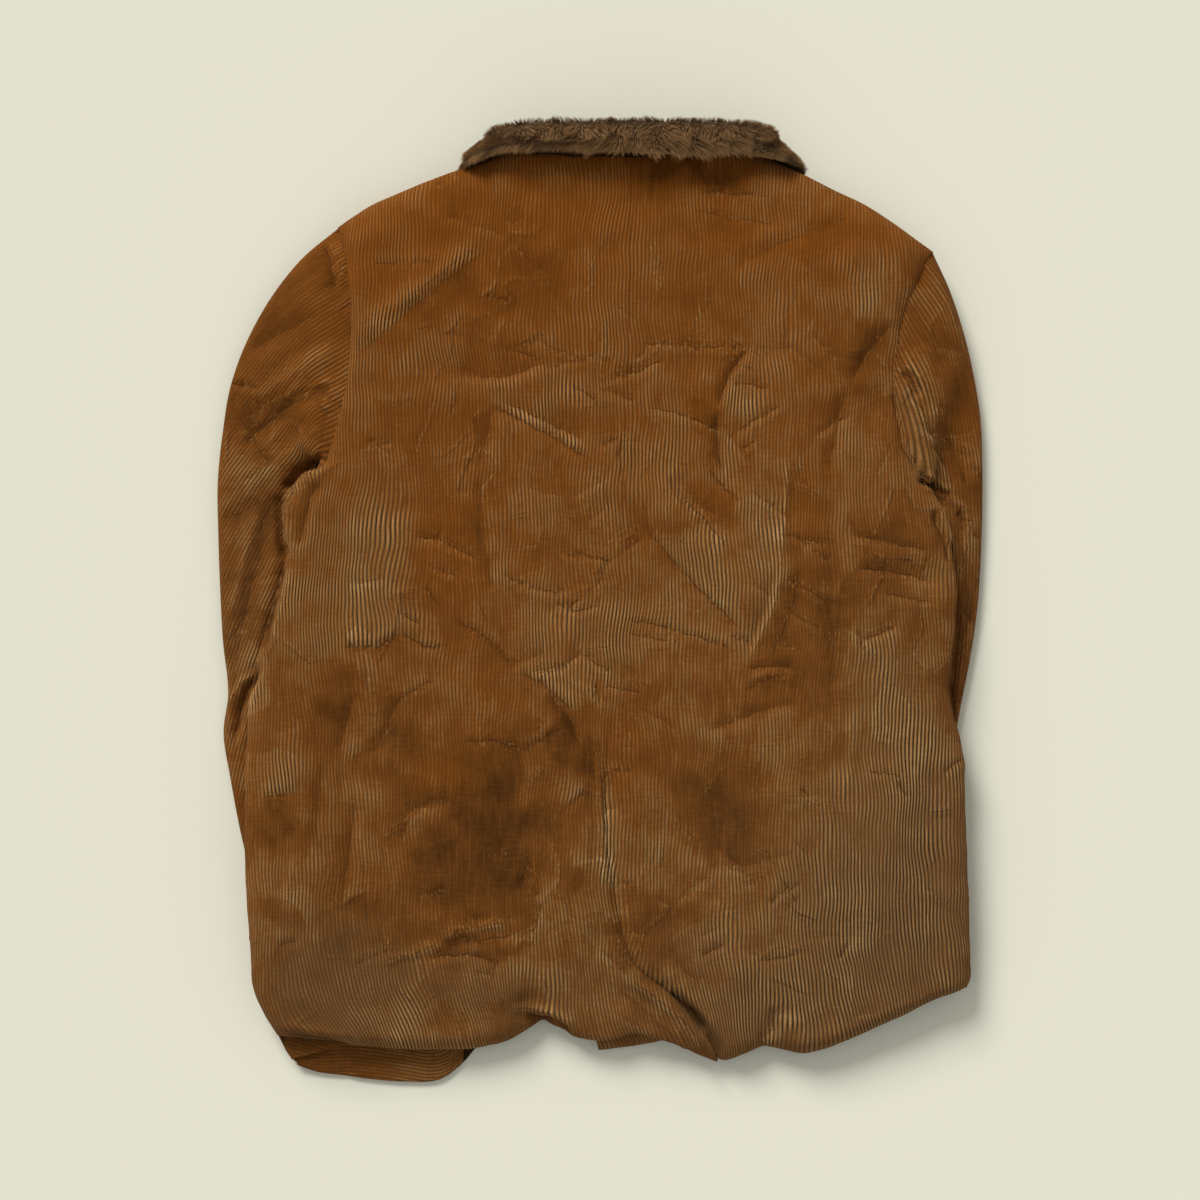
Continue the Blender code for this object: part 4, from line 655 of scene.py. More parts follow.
def joined(first: Line, second: Line, at_share: float) -> Line:
    """Two lines end to end.

    Args:
        first: the line up to at_share.
        second: the line from there on.
        at_share: where they meet.

    Returns:
        Both as one function of the share.
    """

    def at(share: Array) -> Array:
        """The joined line at these shares."""
        share = np.asarray(share, float)
        before = first(np.clip(share / at_share, 0, 1))
        after = second(np.clip((share - at_share) / (1 - at_share), 0, 1))
        return np.where(share[..., None] < at_share, before, after)

    return at


def smooth_step(value: Array) -> Array:
    """0 below nothing, 1 above one, and a soft rise between."""
    value = np.clip(value, 0.0, 1.0)
    return value * value * (3 - 2 * value)


def soft_rise(value: Array, zone: Pair) -> Array:
    """0 before a zone's start, 1 beyond its length, and a soft rise between."""
    return smooth_step((value - zone[0]) / zone[1])


def unit(vectors: Array) -> Array:
    """The vectors at length one."""
    return vectors / np.maximum(np.linalg.norm(vectors, axis=-1, keepdims=True), 1e-12)


def fold_heights(x: Array, y: Array, folds: Sequence[FoldRow]) -> Array:
    """The sum of soft ridges and troughs.

    Args:
        x: places across.
        y: places up.
        folds: the folds, each of which fades towards its ends.

    Returns:
        The height that they add.
    """
    total = np.zeros_like(x)
    for fold in folds:
        run = np.array([fold.x1 - fold.x0, fold.y1 - fold.y0])
        length = np.hypot(*run)
        along = ((x - fold.x0) * run[0] + (y - fold.y0) * run[1]) / length**2
        across = ((x - fold.x0) * run[1] - (y - fold.y0) * run[0]) / length
        ends = soft_rise(along, FOLD_ENDS) * smooth_step((FOLD_END_PAST - along) / FOLD_ENDS[1])
        total += fold.height * ends * np.exp(-((across / fold.width) ** 2))
    return total


def back_height(x: Array, y: Array) -> Array:
    """The height of the back's outer face away from its edges."""
    over_sleeves = BACK_HEIGHT_OVER_SLEEVES * soft_rise(np.abs(x), OVER_SLEEVES)
    shoulders = BACK_HEIGHT_AT_SHOULDERS * soft_rise(y, TO_SHOULDERS)
    hem = HEM_FALL * soft_rise(-y, TO_HEM)
    return BACK_HEIGHT + over_sleeves + shoulders - hem + fold_heights(x, y, BACK_FOLDS)


def flap_edge_distance(x: Array, y: Array) -> Array:
    """How far a point lies to the right of the vent flap's edge, and above it that of the centre seam."""
    line = np.array(VENT_FLAP_EDGE + CENTRE_SEAM[1:], float)
    return x - np.interp(y, line[:, 1], line[:, 0])


def vent_depth(y: Array) -> Array:
    """How far the right half dips below the vent flap of the left half."""
    dip = VENT_DIP_TOP + (VENT_DIP_HEM - VENT_DIP_TOP) * soft_rise(-y, VENT_TO_HEM)
    return soft_rise(-y, OPEN_VENT) * dip


def under_flap(x: Array, y: Array) -> Array:
    """The share of that dip at a place: all of it below the flap, and none a little beyond its edge."""
    return smooth_step((VENT_SHADOW_WIDTH - flap_edge_distance(x, y)) / VENT_SHADOW_WIDTH)


def right_back_height(x: Array, y: Array) -> Array:
    """The right half's height, which dips under the vent flap of the left half."""
    return back_height(x, y) - vent_depth(y) * under_flap(x, y)


def cover_height(x: Array, y: Array) -> Array:
    """The height of the fronts' outer face, which lies on the surface, the sleeves and the collar.

    Args:
        x: places across.
        y: places up.

    Returns:
        The height.
    """
    total = np.zeros_like(x)
    for rings, side in ((LEFT_RINGS, -1.0), (RIGHT_RINGS, 1.0)):
        rows = np.array(rings[3:], float)[::-1]
        inner = np.interp(y, rows[:, 1], rows[:, 0])
        across = soft_rise(side * (x - inner), COVER_BEYOND_SLEEVE)
        cuff = (rows[0, 1] - COVER_BELOW_CUFF, COVER_CUFF_EASE)
        along = soft_rise(y, cuff) * soft_rise(-y, COVER_BELOW_ARMPIT)
        level = np.interp(y, rows[:, 1], rows[:, 6]) + SLEEVE_COVER_CLEARANCE
        total += level * across * along
    collar = soft_rise(y, COLLAR_FROM) * soft_rise(-np.abs(x - NECK_CENTRE_X), COLLAR_BESIDE)
    return total + COLLAR_COVER_HEIGHT * collar


def right_cover_height(x: Array, y: Array) -> Array:
    """The right front's height, which lies on the left front's lap at the centre."""
    centre = spline(CENTRE_FRONT)(np.linspace(0, 1, 20))
    beyond = np.interp(y, centre[:, 1], centre[:, 0]) + FRONT_LAP - x
    return cover_height(x, y) + FRONT_LAP_RISE * smooth_step((beyond + FRONT_LAP_EASE) / FRONT_LAP_EASE)


@dataclass(frozen=True)
class SoftNoise:
    """Smooth random ups and downs from a few waves, the same on every run."""

    size: float
    seed: int
    waves: int = 14
    stretch: float = 1.0

    def at(self, x: Array, y: Array) -> Array:
        """The noise at these places, about -1 to 1.

        Args:
            x: places across.
            y: places up.

        Returns:
            One value for each place.
        """
        rng = np.random.default_rng(self.seed)
        total = np.zeros_like(x)
        for _ in range(self.waves):
            angle = rng.uniform(0, 2 * math.pi)
            rate = 2 * math.pi / (self.size * rng.uniform(0.6, 1.7))
            start = rng.uniform(0, 2 * math.pi)
            total += np.sin(rate * (x * math.cos(angle) + y * math.sin(angle) / self.stretch) + start)
        return total / math.sqrt(self.waves)


def blend(waves: Sequence[tuple[float, SoftNoise]], x: Array, y: Array) -> Array:
    """The sum of some noises, each with its share."""
    return sum(share * noise.at(x, y) for share, noise in waves)


BACK_SWELL = SoftNoise(0.045, 21)
LEFT_SLEEVE_SWELL = SoftNoise(0.05, 31)
RIGHT_SLEEVE_SWELL = SoftNoise(0.05, 32)
DRIFT_WAVES = ((0.0018, SoftNoise(0.11, 3)), (0.0008, SoftNoise(0.040, 4)))
PATCH_SWAY_X = ((0.004, SoftNoise(0.03, 13)),)
PATCH_SWAY_Y = ((0.006, SoftNoise(0.03, 14)),)
NAP_WAVES = ((0.13, SoftNoise(0.11, 11, stretch=1.5)), (0.11, SoftNoise(0.035, 12)))


@dataclass
class Creases:
    """What creases do at some places: their height, their wear with its painted highlight, the lightness
    beside them, partly nap and partly painted light and shade, and the nearest line.

    The line is held as the distance from it, whose sign tells its side, and as how sharp it is.
    """

    height: Array
    wear: Array
    nap_and_shade: Array
    gap: Array
    line: Array

    def add(self, x: Array, y: Array, rows: Sequence[CreaseRow]) -> "Creases":
        """Presses creases in.

        Args:
            x: the places across.
            y: the places up.
            rows: the creases.

        Returns:
            These creases.
        """
        wavy = CREASE_WAVE * SoftNoise(0.020, 71).at(x, y)
        for row in rows:
            line, width = np.array(row.places, float) * MM, row.width * MM
            reach = 3 * max(width, NAP_REACH)
            near = (np.abs(x - np.mean(line[:, 0])) < np.ptp(line[:, 0]) / 2 + reach + 0.02)
            near &= np.abs(y - np.mean(line[:, 1])) < np.ptp(line[:, 1]) / 2 + reach + 0.02
            if not near.any():
                continue
            across, along = line_distance(x[near], y[near], line)
            across = across + wavy[near]
            ends = smooth_step(along / CREASE_FADE) * smooth_step((1 - along) / CREASE_FADE)
            place = across / width
            lip = np.exp(-((place - math.copysign(LIP_OFFSET, row.nap_and_shade)) ** 2))
            self.height[near] += row.height * MM * ends * (np.exp(-(place**2)) - LIP_SHARE * lip)
            self.wear[near] += row.wear * ends * np.exp(-((place / 1.7) ** 2))
            # Beside the crease the cloth turns lighter on one side and darker on the other: partly nap,
            # partly painted light and shade on the fold's two sides.
            beside = np.tanh(across / NAP_EDGE) * np.exp(-np.abs(across) / NAP_REACH)
            self.nap_and_shade[near] += row.nap_and_shade * ends * beside
            sharp = ends * min(1.0, LINE_SHARPNESS * abs(row.height) / row.width)
            distance = math.copysign(1.0, row.nap_and_shade) * across
            closer = (np.abs(distance) < np.abs(self.gap[near])) & (sharp > 0.05)
            self.gap[near] = np.where(closer, distance, self.gap[near])
            self.line[near] = np.where(closer, sharp, self.line[near])
        return self

    def marks(self) -> Marks:
        """The attributes that draw the lines, which the corduroy paints as dark shade with a highlight beside
        it: wear, gap and line.
        """
        line = self.line * np.exp(-((self.gap / LINE_REACH) ** 2))
        return {"wear": self.wear, "gap": np.clip(self.gap / MM, -20, 20), "line": line}


def line_distance(x: Array, y: Array, line: Array) -> tuple[Array, Array]:
    """The distance from a line of straight steps.

    Args:
        x: places across.
        y: places up.
        line: the line's points.

    Returns:
        The distance, above 0 to the right of the line's run, and the share of its length there.
    """
    steps = np.diff(line, axis=0)
    lengths = np.linalg.norm(steps, axis=1)
    starts = np.concatenate([[0.0], np.cumsum(lengths)]) / lengths.sum()
    best = np.full_like(x, np.inf)
    across, along = np.zeros_like(x), np.zeros_like(x)
    for place, step, length, start in zip(line, steps, lengths, starts):
        dx, dy = x - place[0], y - place[1]
        share = np.clip((dx * step[0] + dy * step[1]) / length**2, 0, 1)
        gap = np.hypot(dx - share * step[0], dy - share * step[1])
        closer = gap < best
        best = np.where(closer, gap, best)
        across = np.where(closer, np.copysign(gap, dx * step[1] - dy * step[0]), across)
        along = np.where(closer, start + share * length / lengths.sum(), along)
    return across, along


@dataclass(frozen=True)
class Crumple:
    """Cloth crumpled into facets: the nap of each lies its own way, and fine creases run where two meet.

    primes turn the numbers of two facets into the strength of the crease between them. The higher plain is,
    the fewer creases show.
    """

    size: float = 0.027
    stretch: float = 1.5
    warp: float = 0.008
    width: float = 0.0017
    height: float = 0.00055
    blur: float = 0.0008
    sharpness: float = 0.7
    tone_spread: float = 0.6
    primes: tuple[int, int, int] = (7919, 104729, 1009)
    plain: float = 0.7
    level: float = 0.55
    least: float = 0.05
    apart: float = 0.8
    span: Pair = (0.80, 1.00)
    seed: int = 61

    def at(self, x: Array, y: Array) -> tuple[Array, Creases]:
        """The facets at these places.

        Args:
            x: places across.
            y: places up.

        Returns:
            The facet's tone, about -1 to 1, and the creases between the facets.
        """
        rng = np.random.default_rng(self.seed)
        count = round(self.span[0] * self.span[1] / self.stretch / self.size**2)
        spots = rng.uniform(-0.5, 0.5, (count, 2)) * np.array([self.span[0], self.span[1] / self.stretch])
        tones = np.clip(rng.normal(0, self.tone_spread, count), -1, 1)
        tree = KDTree(count)
        for number, (spot_x, spot_y) in enumerate(spots):
            tree.insert((spot_x, spot_y, 0.0), number)
        tree.balance()
        across = x + self.warp * SoftNoise(0.05, 62).at(x, y)
        up = (y + self.warp * SoftNoise(0.05, 63).at(x, y)) / self.stretch
        found = [tree.find_n((a, b, 0.0), 2) for a, b in zip(across.ravel(), up.ravel())]
        first, second = (np.array([pair[n][1] for pair in found]).reshape(x.shape) for n in (0, 1))
        near, far = (np.array([pair[n][2] for pair in found]).reshape(x.shape) for n in (0, 1))
        gap = np.linalg.norm(spots[first] - spots[second], axis=-1)
        edge = (far**2 - near**2) / (2 * gap)
        share = 0.5 + 0.5 * np.tanh(edge / self.blur)
        tone = tones[first] * share + tones[second] * (1 - share)
        low, high = np.minimum(first, second), np.maximum(first, second)
        a, b, m = self.primes
        strength = np.clip((1 + self.plain) * ((low * a + high * b) % m) / m - self.plain, 0, 1)
        strength = strength * np.clip(self.level + 0.5 * SoftNoise(0.16, 64).at(x, y), self.least, 1)
        signed = np.where(first < second, edge, -edge)
        place = signed / self.width
        lip = np.exp(-((place - self.apart) ** 2))
        height = self.height * strength * (lip - np.exp(-((place + self.apart) ** 2)))
        return tone, Creases(height, strength * lip, np.zeros_like(x), signed, self.sharpness * strength)


def strewn(rng: np.random.Generator, x: float, y: float, angle: float, spans: Spans) -> CreaseRow:
    """A small wrinkle.

    Args:
        rng: the random numbers.
        x: its start across, in metres.
        y: its start up.
        angle: the way it runs.
        spans: the lowest and highest length, height, width and wear.

    Returns:
        The wrinkle as a crease row.
    """
    lengths, heights, widths, wears = spans
    length = rng.uniform(*lengths)
    dx, dy = length * math.cos(angle), length * math.sin(angle)
    height = rng.uniform(*heights) * rng.choice([-1.0, 1.0])
    places = ((x / MM, y / MM), ((x + dx) / MM, (y + dy) / MM))
    return CreaseRow(places, rng.uniform(*widths), height, rng.uniform(*wears), rng.normal(0, WRINKLE_NAP))


@dataclass(frozen=True)
class Wrinkles:
    """Many small wrinkles, strewn over the back as unevenly as real wear does."""

    count: int = 150
    seed: int = 7
    spread: Pair = (0.02, 0.13)
    reach: Pair = (-0.34, 0.26)
    turns: Pair = (20, -25)
    turn_spread: float = 0.7
    spans: Spans = ((0.010, 0.045), (0.4, 1.0), (2.0, 3.6), (0, 0.8))

    def rows(self) -> list[CreaseRow]:
        """Strews the wrinkles.

        Returns:
            The wrinkles as crease rows.
        """
        rng = np.random.default_rng(self.seed)
        rows = []
        for _ in range(self.count):
            x = rng.normal(*self.spread)
            y = rng.uniform(*self.reach)
            angle = rng.normal(math.radians(self.turns[x > 0]), self.turn_spread)
            rows.append(strewn(rng, x, y, angle, self.spans))
        return rows


@dataclass(frozen=True)
class Cord:
    """The corduroy's surface: where its wales run, how high they are, and how its nap lies, with painted
    light and shade in its tone.
    """

    pitch: float = WALE_PITCH
    relief: float = WALE_RELIEF
    wrinkles: Wrinkles = field(default_factory=Wrinkles)
    crumple: Crumple = field(default_factory=Crumple)

    def drift(self, x: Array, y: Array) -> Array:
        """How far the wales are pulled sideways.

        Args:
            x: places across.
            y: places up.

        Returns:
            The distance.
        """
        total = blend(DRIFT_WAVES, x, y)
        for row in WALE_DRIFTS:
            across, up = (x - row.x) / row.width, (y - row.y) / row.length
            total = total + row.pull * np.exp(-(across**2) - up**2)
        return total

    def rib(self, across: Array) -> Array:
        """The wales' height about the cloth's middle, with a groove at each whole pitch."""
        return self.relief * -0.5 * np.cos(2 * math.pi * across / self.pitch)

    @staticmethod
    def fullness(light: Array) -> Array:
        """How full the wales stand, where a nap brushed dark hides their grooves."""
        return np.clip(FULLNESS + FULLNESS_SLOPE * light, *FULLNESS_RANGE)

    def plain(self, x: Array, y: Array) -> Marks:
        """The attributes of cloth without creases."""
        none = np.zeros_like(x)
        return {**self.nap_and_shade(x, y, none), "wear": none + 0.2, "gap": none + 20, "line": none}

    def jagged(self, across: Array) -> Array:
        """How far each wale's nap is out of step with its neighbours', from -1 to 1."""
        wale = np.floor(across / self.pitch)
        return 2 * (np.sin(wale * 12.9898) * 43758.5453 % 1.0) - 1

    def nap_and_shade(self, x: Array, y: Array, tone: Array | float) -> Marks:
        """The nap's lightness, with the painted light and shade of the patches, and its warmth at these
        places, from -1 to 1.

        Args:
            x: places across.
            y: places up.
            tone: the tone of the cloth's facets there.

        Returns:
            The attributes light and warm.
        """
        light = blend(NAP_WAVES, x, y) + TONE_SHARE * tone
        warm = 0.20 + 0.60 * np.clip((y + 0.12) / 0.45, -0.6, 0.9) - 0.25 * np.clip(x / 0.3, -0.3, 1.0)
        x, y = x + blend(PATCH_SWAY_X, x, y), y + blend(PATCH_SWAY_Y, x, y)
        for row in NAP_AND_SHADE_PATCHES:
            angle = math.radians(row.turn)
            dx, dy = x - row.x * MM, y - row.y * MM
            along = (dx * math.cos(angle) + dy * math.sin(angle)) / (row.width * MM)
            across = (-dx * math.sin(angle) + dy * math.cos(angle)) / (row.length * MM)
            inside = np.exp(-((along**2 + across**2) ** PATCH_EDGE))
            light = light + row.light * inside
            warm = warm + row.warm * inside
        return {"light": light, "warm": np.clip(warm, -1, 1)}

    def pressed(self, x: Array, y: Array, across: Array, rows: Sequence[CreaseRow]) -> tuple[Creases, Marks]:
        """The creases and the nap of a piece, with the painted light and shade of both.

        Args:
            x: places across.
            y: places up.
            across: the distance across the wales there.
            rows: the piece's own creases.

        Returns:
            The creases, and the attributes light and warm.
        """
        jag = self.jagged(across)
        tone, creases = self.crumple.at(x, y + 0.0010 * jag)
        creases.add(x, y + 0.0005 * jag, rows)
        marks = self.nap_and_shade(x, y + 0.0040 * jag, tone)
        marks["light"] = marks["light"] + creases.nap_and_shade
        marks.update(creases.marks())
        return creases, marks


CORD = Cord()


def set_values(mesh: Mesh, name: str, values: Array) -> None:
    """Gives each of a mesh's points its value of an attribute, new or already there."""
    attribute = mesh.attributes.get(name) or mesh.attributes.new(name, "FLOAT", "POINT")
    attribute.data.foreach_set("value", values.astype(np.float32))


def placed(mesh: Mesh) -> Piece:
    """A new object in the scene with this mesh and its name."""
    piece = bpy.data.objects.new(mesh.name, mesh)
    bpy.context.scene.collection.objects.link(piece)
    return piece


def fit(piece: Piece, node: str) -> None:
    """Ties a piece to the one body, in place of the frame's node.

    Args:
        piece: the piece.
        node: the node's name.
    """
    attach(piece, "root")
    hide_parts(node)


@dataclass
class Wall:
    """A closed cloth wall between a fine outer grid and a coarser inner one."""

    name: str
    outer: Array
    inner: Array
    coarse: Grid
    uv: Array
    marks: Marks
    ring: bool = False
    flip: bool = False

    def build(self) -> Piece:
        """Makes the wall's mesh, with its UV map and its attributes.

        Returns:
            The new object.
        """
        columns, rows = self.outer.shape[:2]
        low_columns, low_rows = self.inner.shape[:2]
        k, m = self.coarse
        start = columns * rows
        faces = self.quads(columns, rows, 0, False) + self.quads(low_columns, low_rows, start, True)
        soft = len(faces)
        faces += self.rims()
        points = np.concatenate([self.outer.reshape(-1, 3), self.inner.reshape(-1, 3)])
        mesh = bpy.data.meshes.new(f"{self.name}_cloth")
        if self.flip:
            faces = [face[::-1] for face in faces]
        mesh.from_pydata(points.tolist(), [], faces)
        mesh.polygons.foreach_set("use_smooth", np.arange(len(faces)) < soft)
        uv = np.concatenate([self.uv.reshape(-1, 2), self.uv[::k, ::m].reshape(-1, 2)])
        index = np.empty(len(mesh.loops), np.int32)
        mesh.loops.foreach_get("vertex_index", index)
        layer = mesh.uv_layers.new(name="wales")
        layer.data.foreach_set("uv", uv[index].astype(np.float32).ravel())
        for key, values in self.marks.items():
            set_values(mesh, key, np.concatenate([values.ravel(), values[::k, ::m].ravel()]))
        # inside marks the inner face, which the corduroy paints near-black as shade.
        set_values(mesh, "inside", np.repeat([0.0, 1.0], [start, low_columns * low_rows]))
        mesh.update()
        return placed(mesh)

    def quads(self, columns: int, rows: int, start: int, turned: bool) -> list[tuple[int, ...]]:
        """The faces of one grid.

        Args:
            columns: its columns.
            rows: its rows.
            start: the number of its first point.
            turned: True where they face the other way.

        Returns:
            The faces.
        """
        last = rows if self.ring else rows - 1
        i, j = np.meshgrid(np.arange(columns - 1), np.arange(last), indexing="ij")
        k = (j + 1) % rows
        corners = [i * rows + j, (i + 1) * rows + j, (i + 1) * rows + k, i * rows + k]
        if turned:
            corners = corners[::-1]
        return (np.stack(corners, axis=-1).reshape(-1, 4) + start).tolist()

    def rims(self) -> list[list[int]]:
        """The faces that join the two grids along their edges.

        Returns:
            The faces.
        """
        (columns, rows), (low_columns, low_rows) = self.outer.shape[:2], self.inner.shape[:2]
        k, m = self.coarse
        start = columns * rows
        faces = []
        last = low_rows if self.ring else low_rows - 1
        for i, low in ((0, 0), (columns - 1, low_columns - 1)):
            for j in range(last):
                fine = [i * rows + (j * m + step) % rows for step in range(m + 1)]
                a, b = start + low * low_rows + j, start + low * low_rows + (j + 1) % low_rows
                face = [a, *fine, b]
                faces.append(face if i == 0 else face[::-1])
        if self.ring:
            return faces
        for j, low in ((0, 0), (rows - 1, low_rows - 1)):
            for i in range(low_columns - 1):
                fine = [(i * k + step) * rows + j for step in range(k + 1)]
                a, b = start + i * low_rows + low, start + (i + 1) * low_rows + low
                face = [b, *fine[::-1], a]
                faces.append(face if j == 0 else face[::-1])
        return faces


def surface_normals(points: Array, ring: bool = False) -> Array:
    """Unit normals of a grid of points.

    Args:
        points: the grid.
        ring: True where its last row meets its first.

    Returns:
        One normal for each point.
    """
    across = np.gradient(points, axis=0)
    if ring:
        along = np.roll(points, -1, axis=1) - np.roll(points, 1, axis=1)
    else:
        along = np.gradient(points, axis=1)
    return unit(np.cross(across, along))


class Side(Enum):
    """A half of the jacket, by the sign of its X."""

    LEFT = -1
    RIGHT = 1

    @property
    def word(self) -> str:
        """The side's name in a piece's name."""
        return self.name.lower()


@dataclass
class Panel:
    """One cut piece of the body between four edge lines, as a function of a column and a row."""

    side: Line
    centre: Line
    hem: Line
    top: Line
    height: Height
    columns: int
    rim_width: float

    @staticmethod
    def rows_share(row: Array) -> tuple[Array, Array, Array]:
        """The share of the way from hem to shoulder, with more rows on the rounded rims.

        Args:
            row: rows, which may lie between the grid's own.

        Returns:
            The share, and how far round the hem's and the shoulder's rim the row lies.
        """
        hem = HEM_RIM / BODY_LENGTH
        shoulder = 1 - SHOULDER_RIM / BODY_LENGTH
        hem_turn = np.clip(row / HEM_RIM_ROWS, 0, 1)
        top_turn = np.clip((PANEL_ROWS - row) / SHOULDER_RIM_ROWS, 0, 1)
        middle_rows = PANEL_ROWS - HEM_RIM_ROWS - SHOULDER_RIM_ROWS
        middle = hem + (shoulder - hem) * (row - HEM_RIM_ROWS) / middle_rows
        curl = 1 - np.cos(hem_turn * math.pi / 2)
        low = hem * ((1 - HEM_CURL) * hem_turn + HEM_CURL * curl)
        high = 1 - (1 - shoulder) * (1 - np.cos(top_turn * math.pi / 2))
        share = np.where(row < HEM_RIM_ROWS, low, middle)
        return np.where(row > PANEL_ROWS - SHOULDER_RIM_ROWS, high, share), hem_turn, top_turn

    def at(self, column: Array, row: Array) -> Array:
        """The outer face's points.

        Args:
            column: columns, which may lie between the grid's own.
            row: rows, the same.

        Returns:
            The points.
        """
        t, hem_turn, top_turn = self.rows_share(row)
        side, centre = self.side(t), self.centre(t)
        width = np.abs(centre[..., 0] - side[..., 0])
        lean = np.radians(side[..., 3])
        turn = np.clip(column / SIDE_RIM_COLUMNS, 0, 1)
        angle = lean + (math.pi / 2 - lean) * turn
        rim_share = self.rim_width * np.cos(lean) / width
        inside = np.clip((column - SIDE_RIM_COLUMNS) / (self.columns - SIDE_RIM_COLUMNS), 0, 1)
        rim = self.rim_width * (np.cos(lean) - np.cos(angle)) / width
        s = np.where(column < SIDE_RIM_COLUMNS, rim, rim_share + (1 - rim_share) * inside)
        hem, top = self.hem(s), self.top(s)
        corners = [line(np.array(end, float)) for line in (self.hem, self.top) for end in (0, 1)]
        s, t = s[..., None], t[..., None]
        plan = (1 - s) * side[..., :2] + s * centre[..., :2] + (1 - t) * hem[..., :2] + t * top[..., :2]
        plan -= (1 - t) * ((1 - s) * corners[0][:2] + s * corners[1][:2])
        plan -= t * ((1 - s) * corners[2][:2] + s * corners[3][:2])
        x, y = plan[..., 0], plan[..., 1]
        full = self.height(x, y)
        rise = self.rise(angle, lean)
        ends = self.drop(full, hem, hem_turn) + self.drop(full, top, top_turn)
        height = full - (full - side[..., 2]) * (1 - rise) - ends * rise
        return np.stack([x, y, np.maximum(height, 0.0)], axis=-1)

    @staticmethod
    def rise(angle: Array, lean: Array) -> Array:
        """How far up a rounded rim an angle lies, from 0 to 1."""
        return (np.sin(angle) - np.sin(lean)) / (1 - np.sin(lean))

    def drop(self, full: Array, edge: Array, turn: Array) -> Array:
        """How far the cloth lies below its full height on the rim of the hem or the shoulder."""
        lean = np.radians(edge[..., 3])
        angle = lean + (math.pi / 2 - lean) * turn
        return (full - edge[..., 2]) * (1 - self.rise(angle, lean))


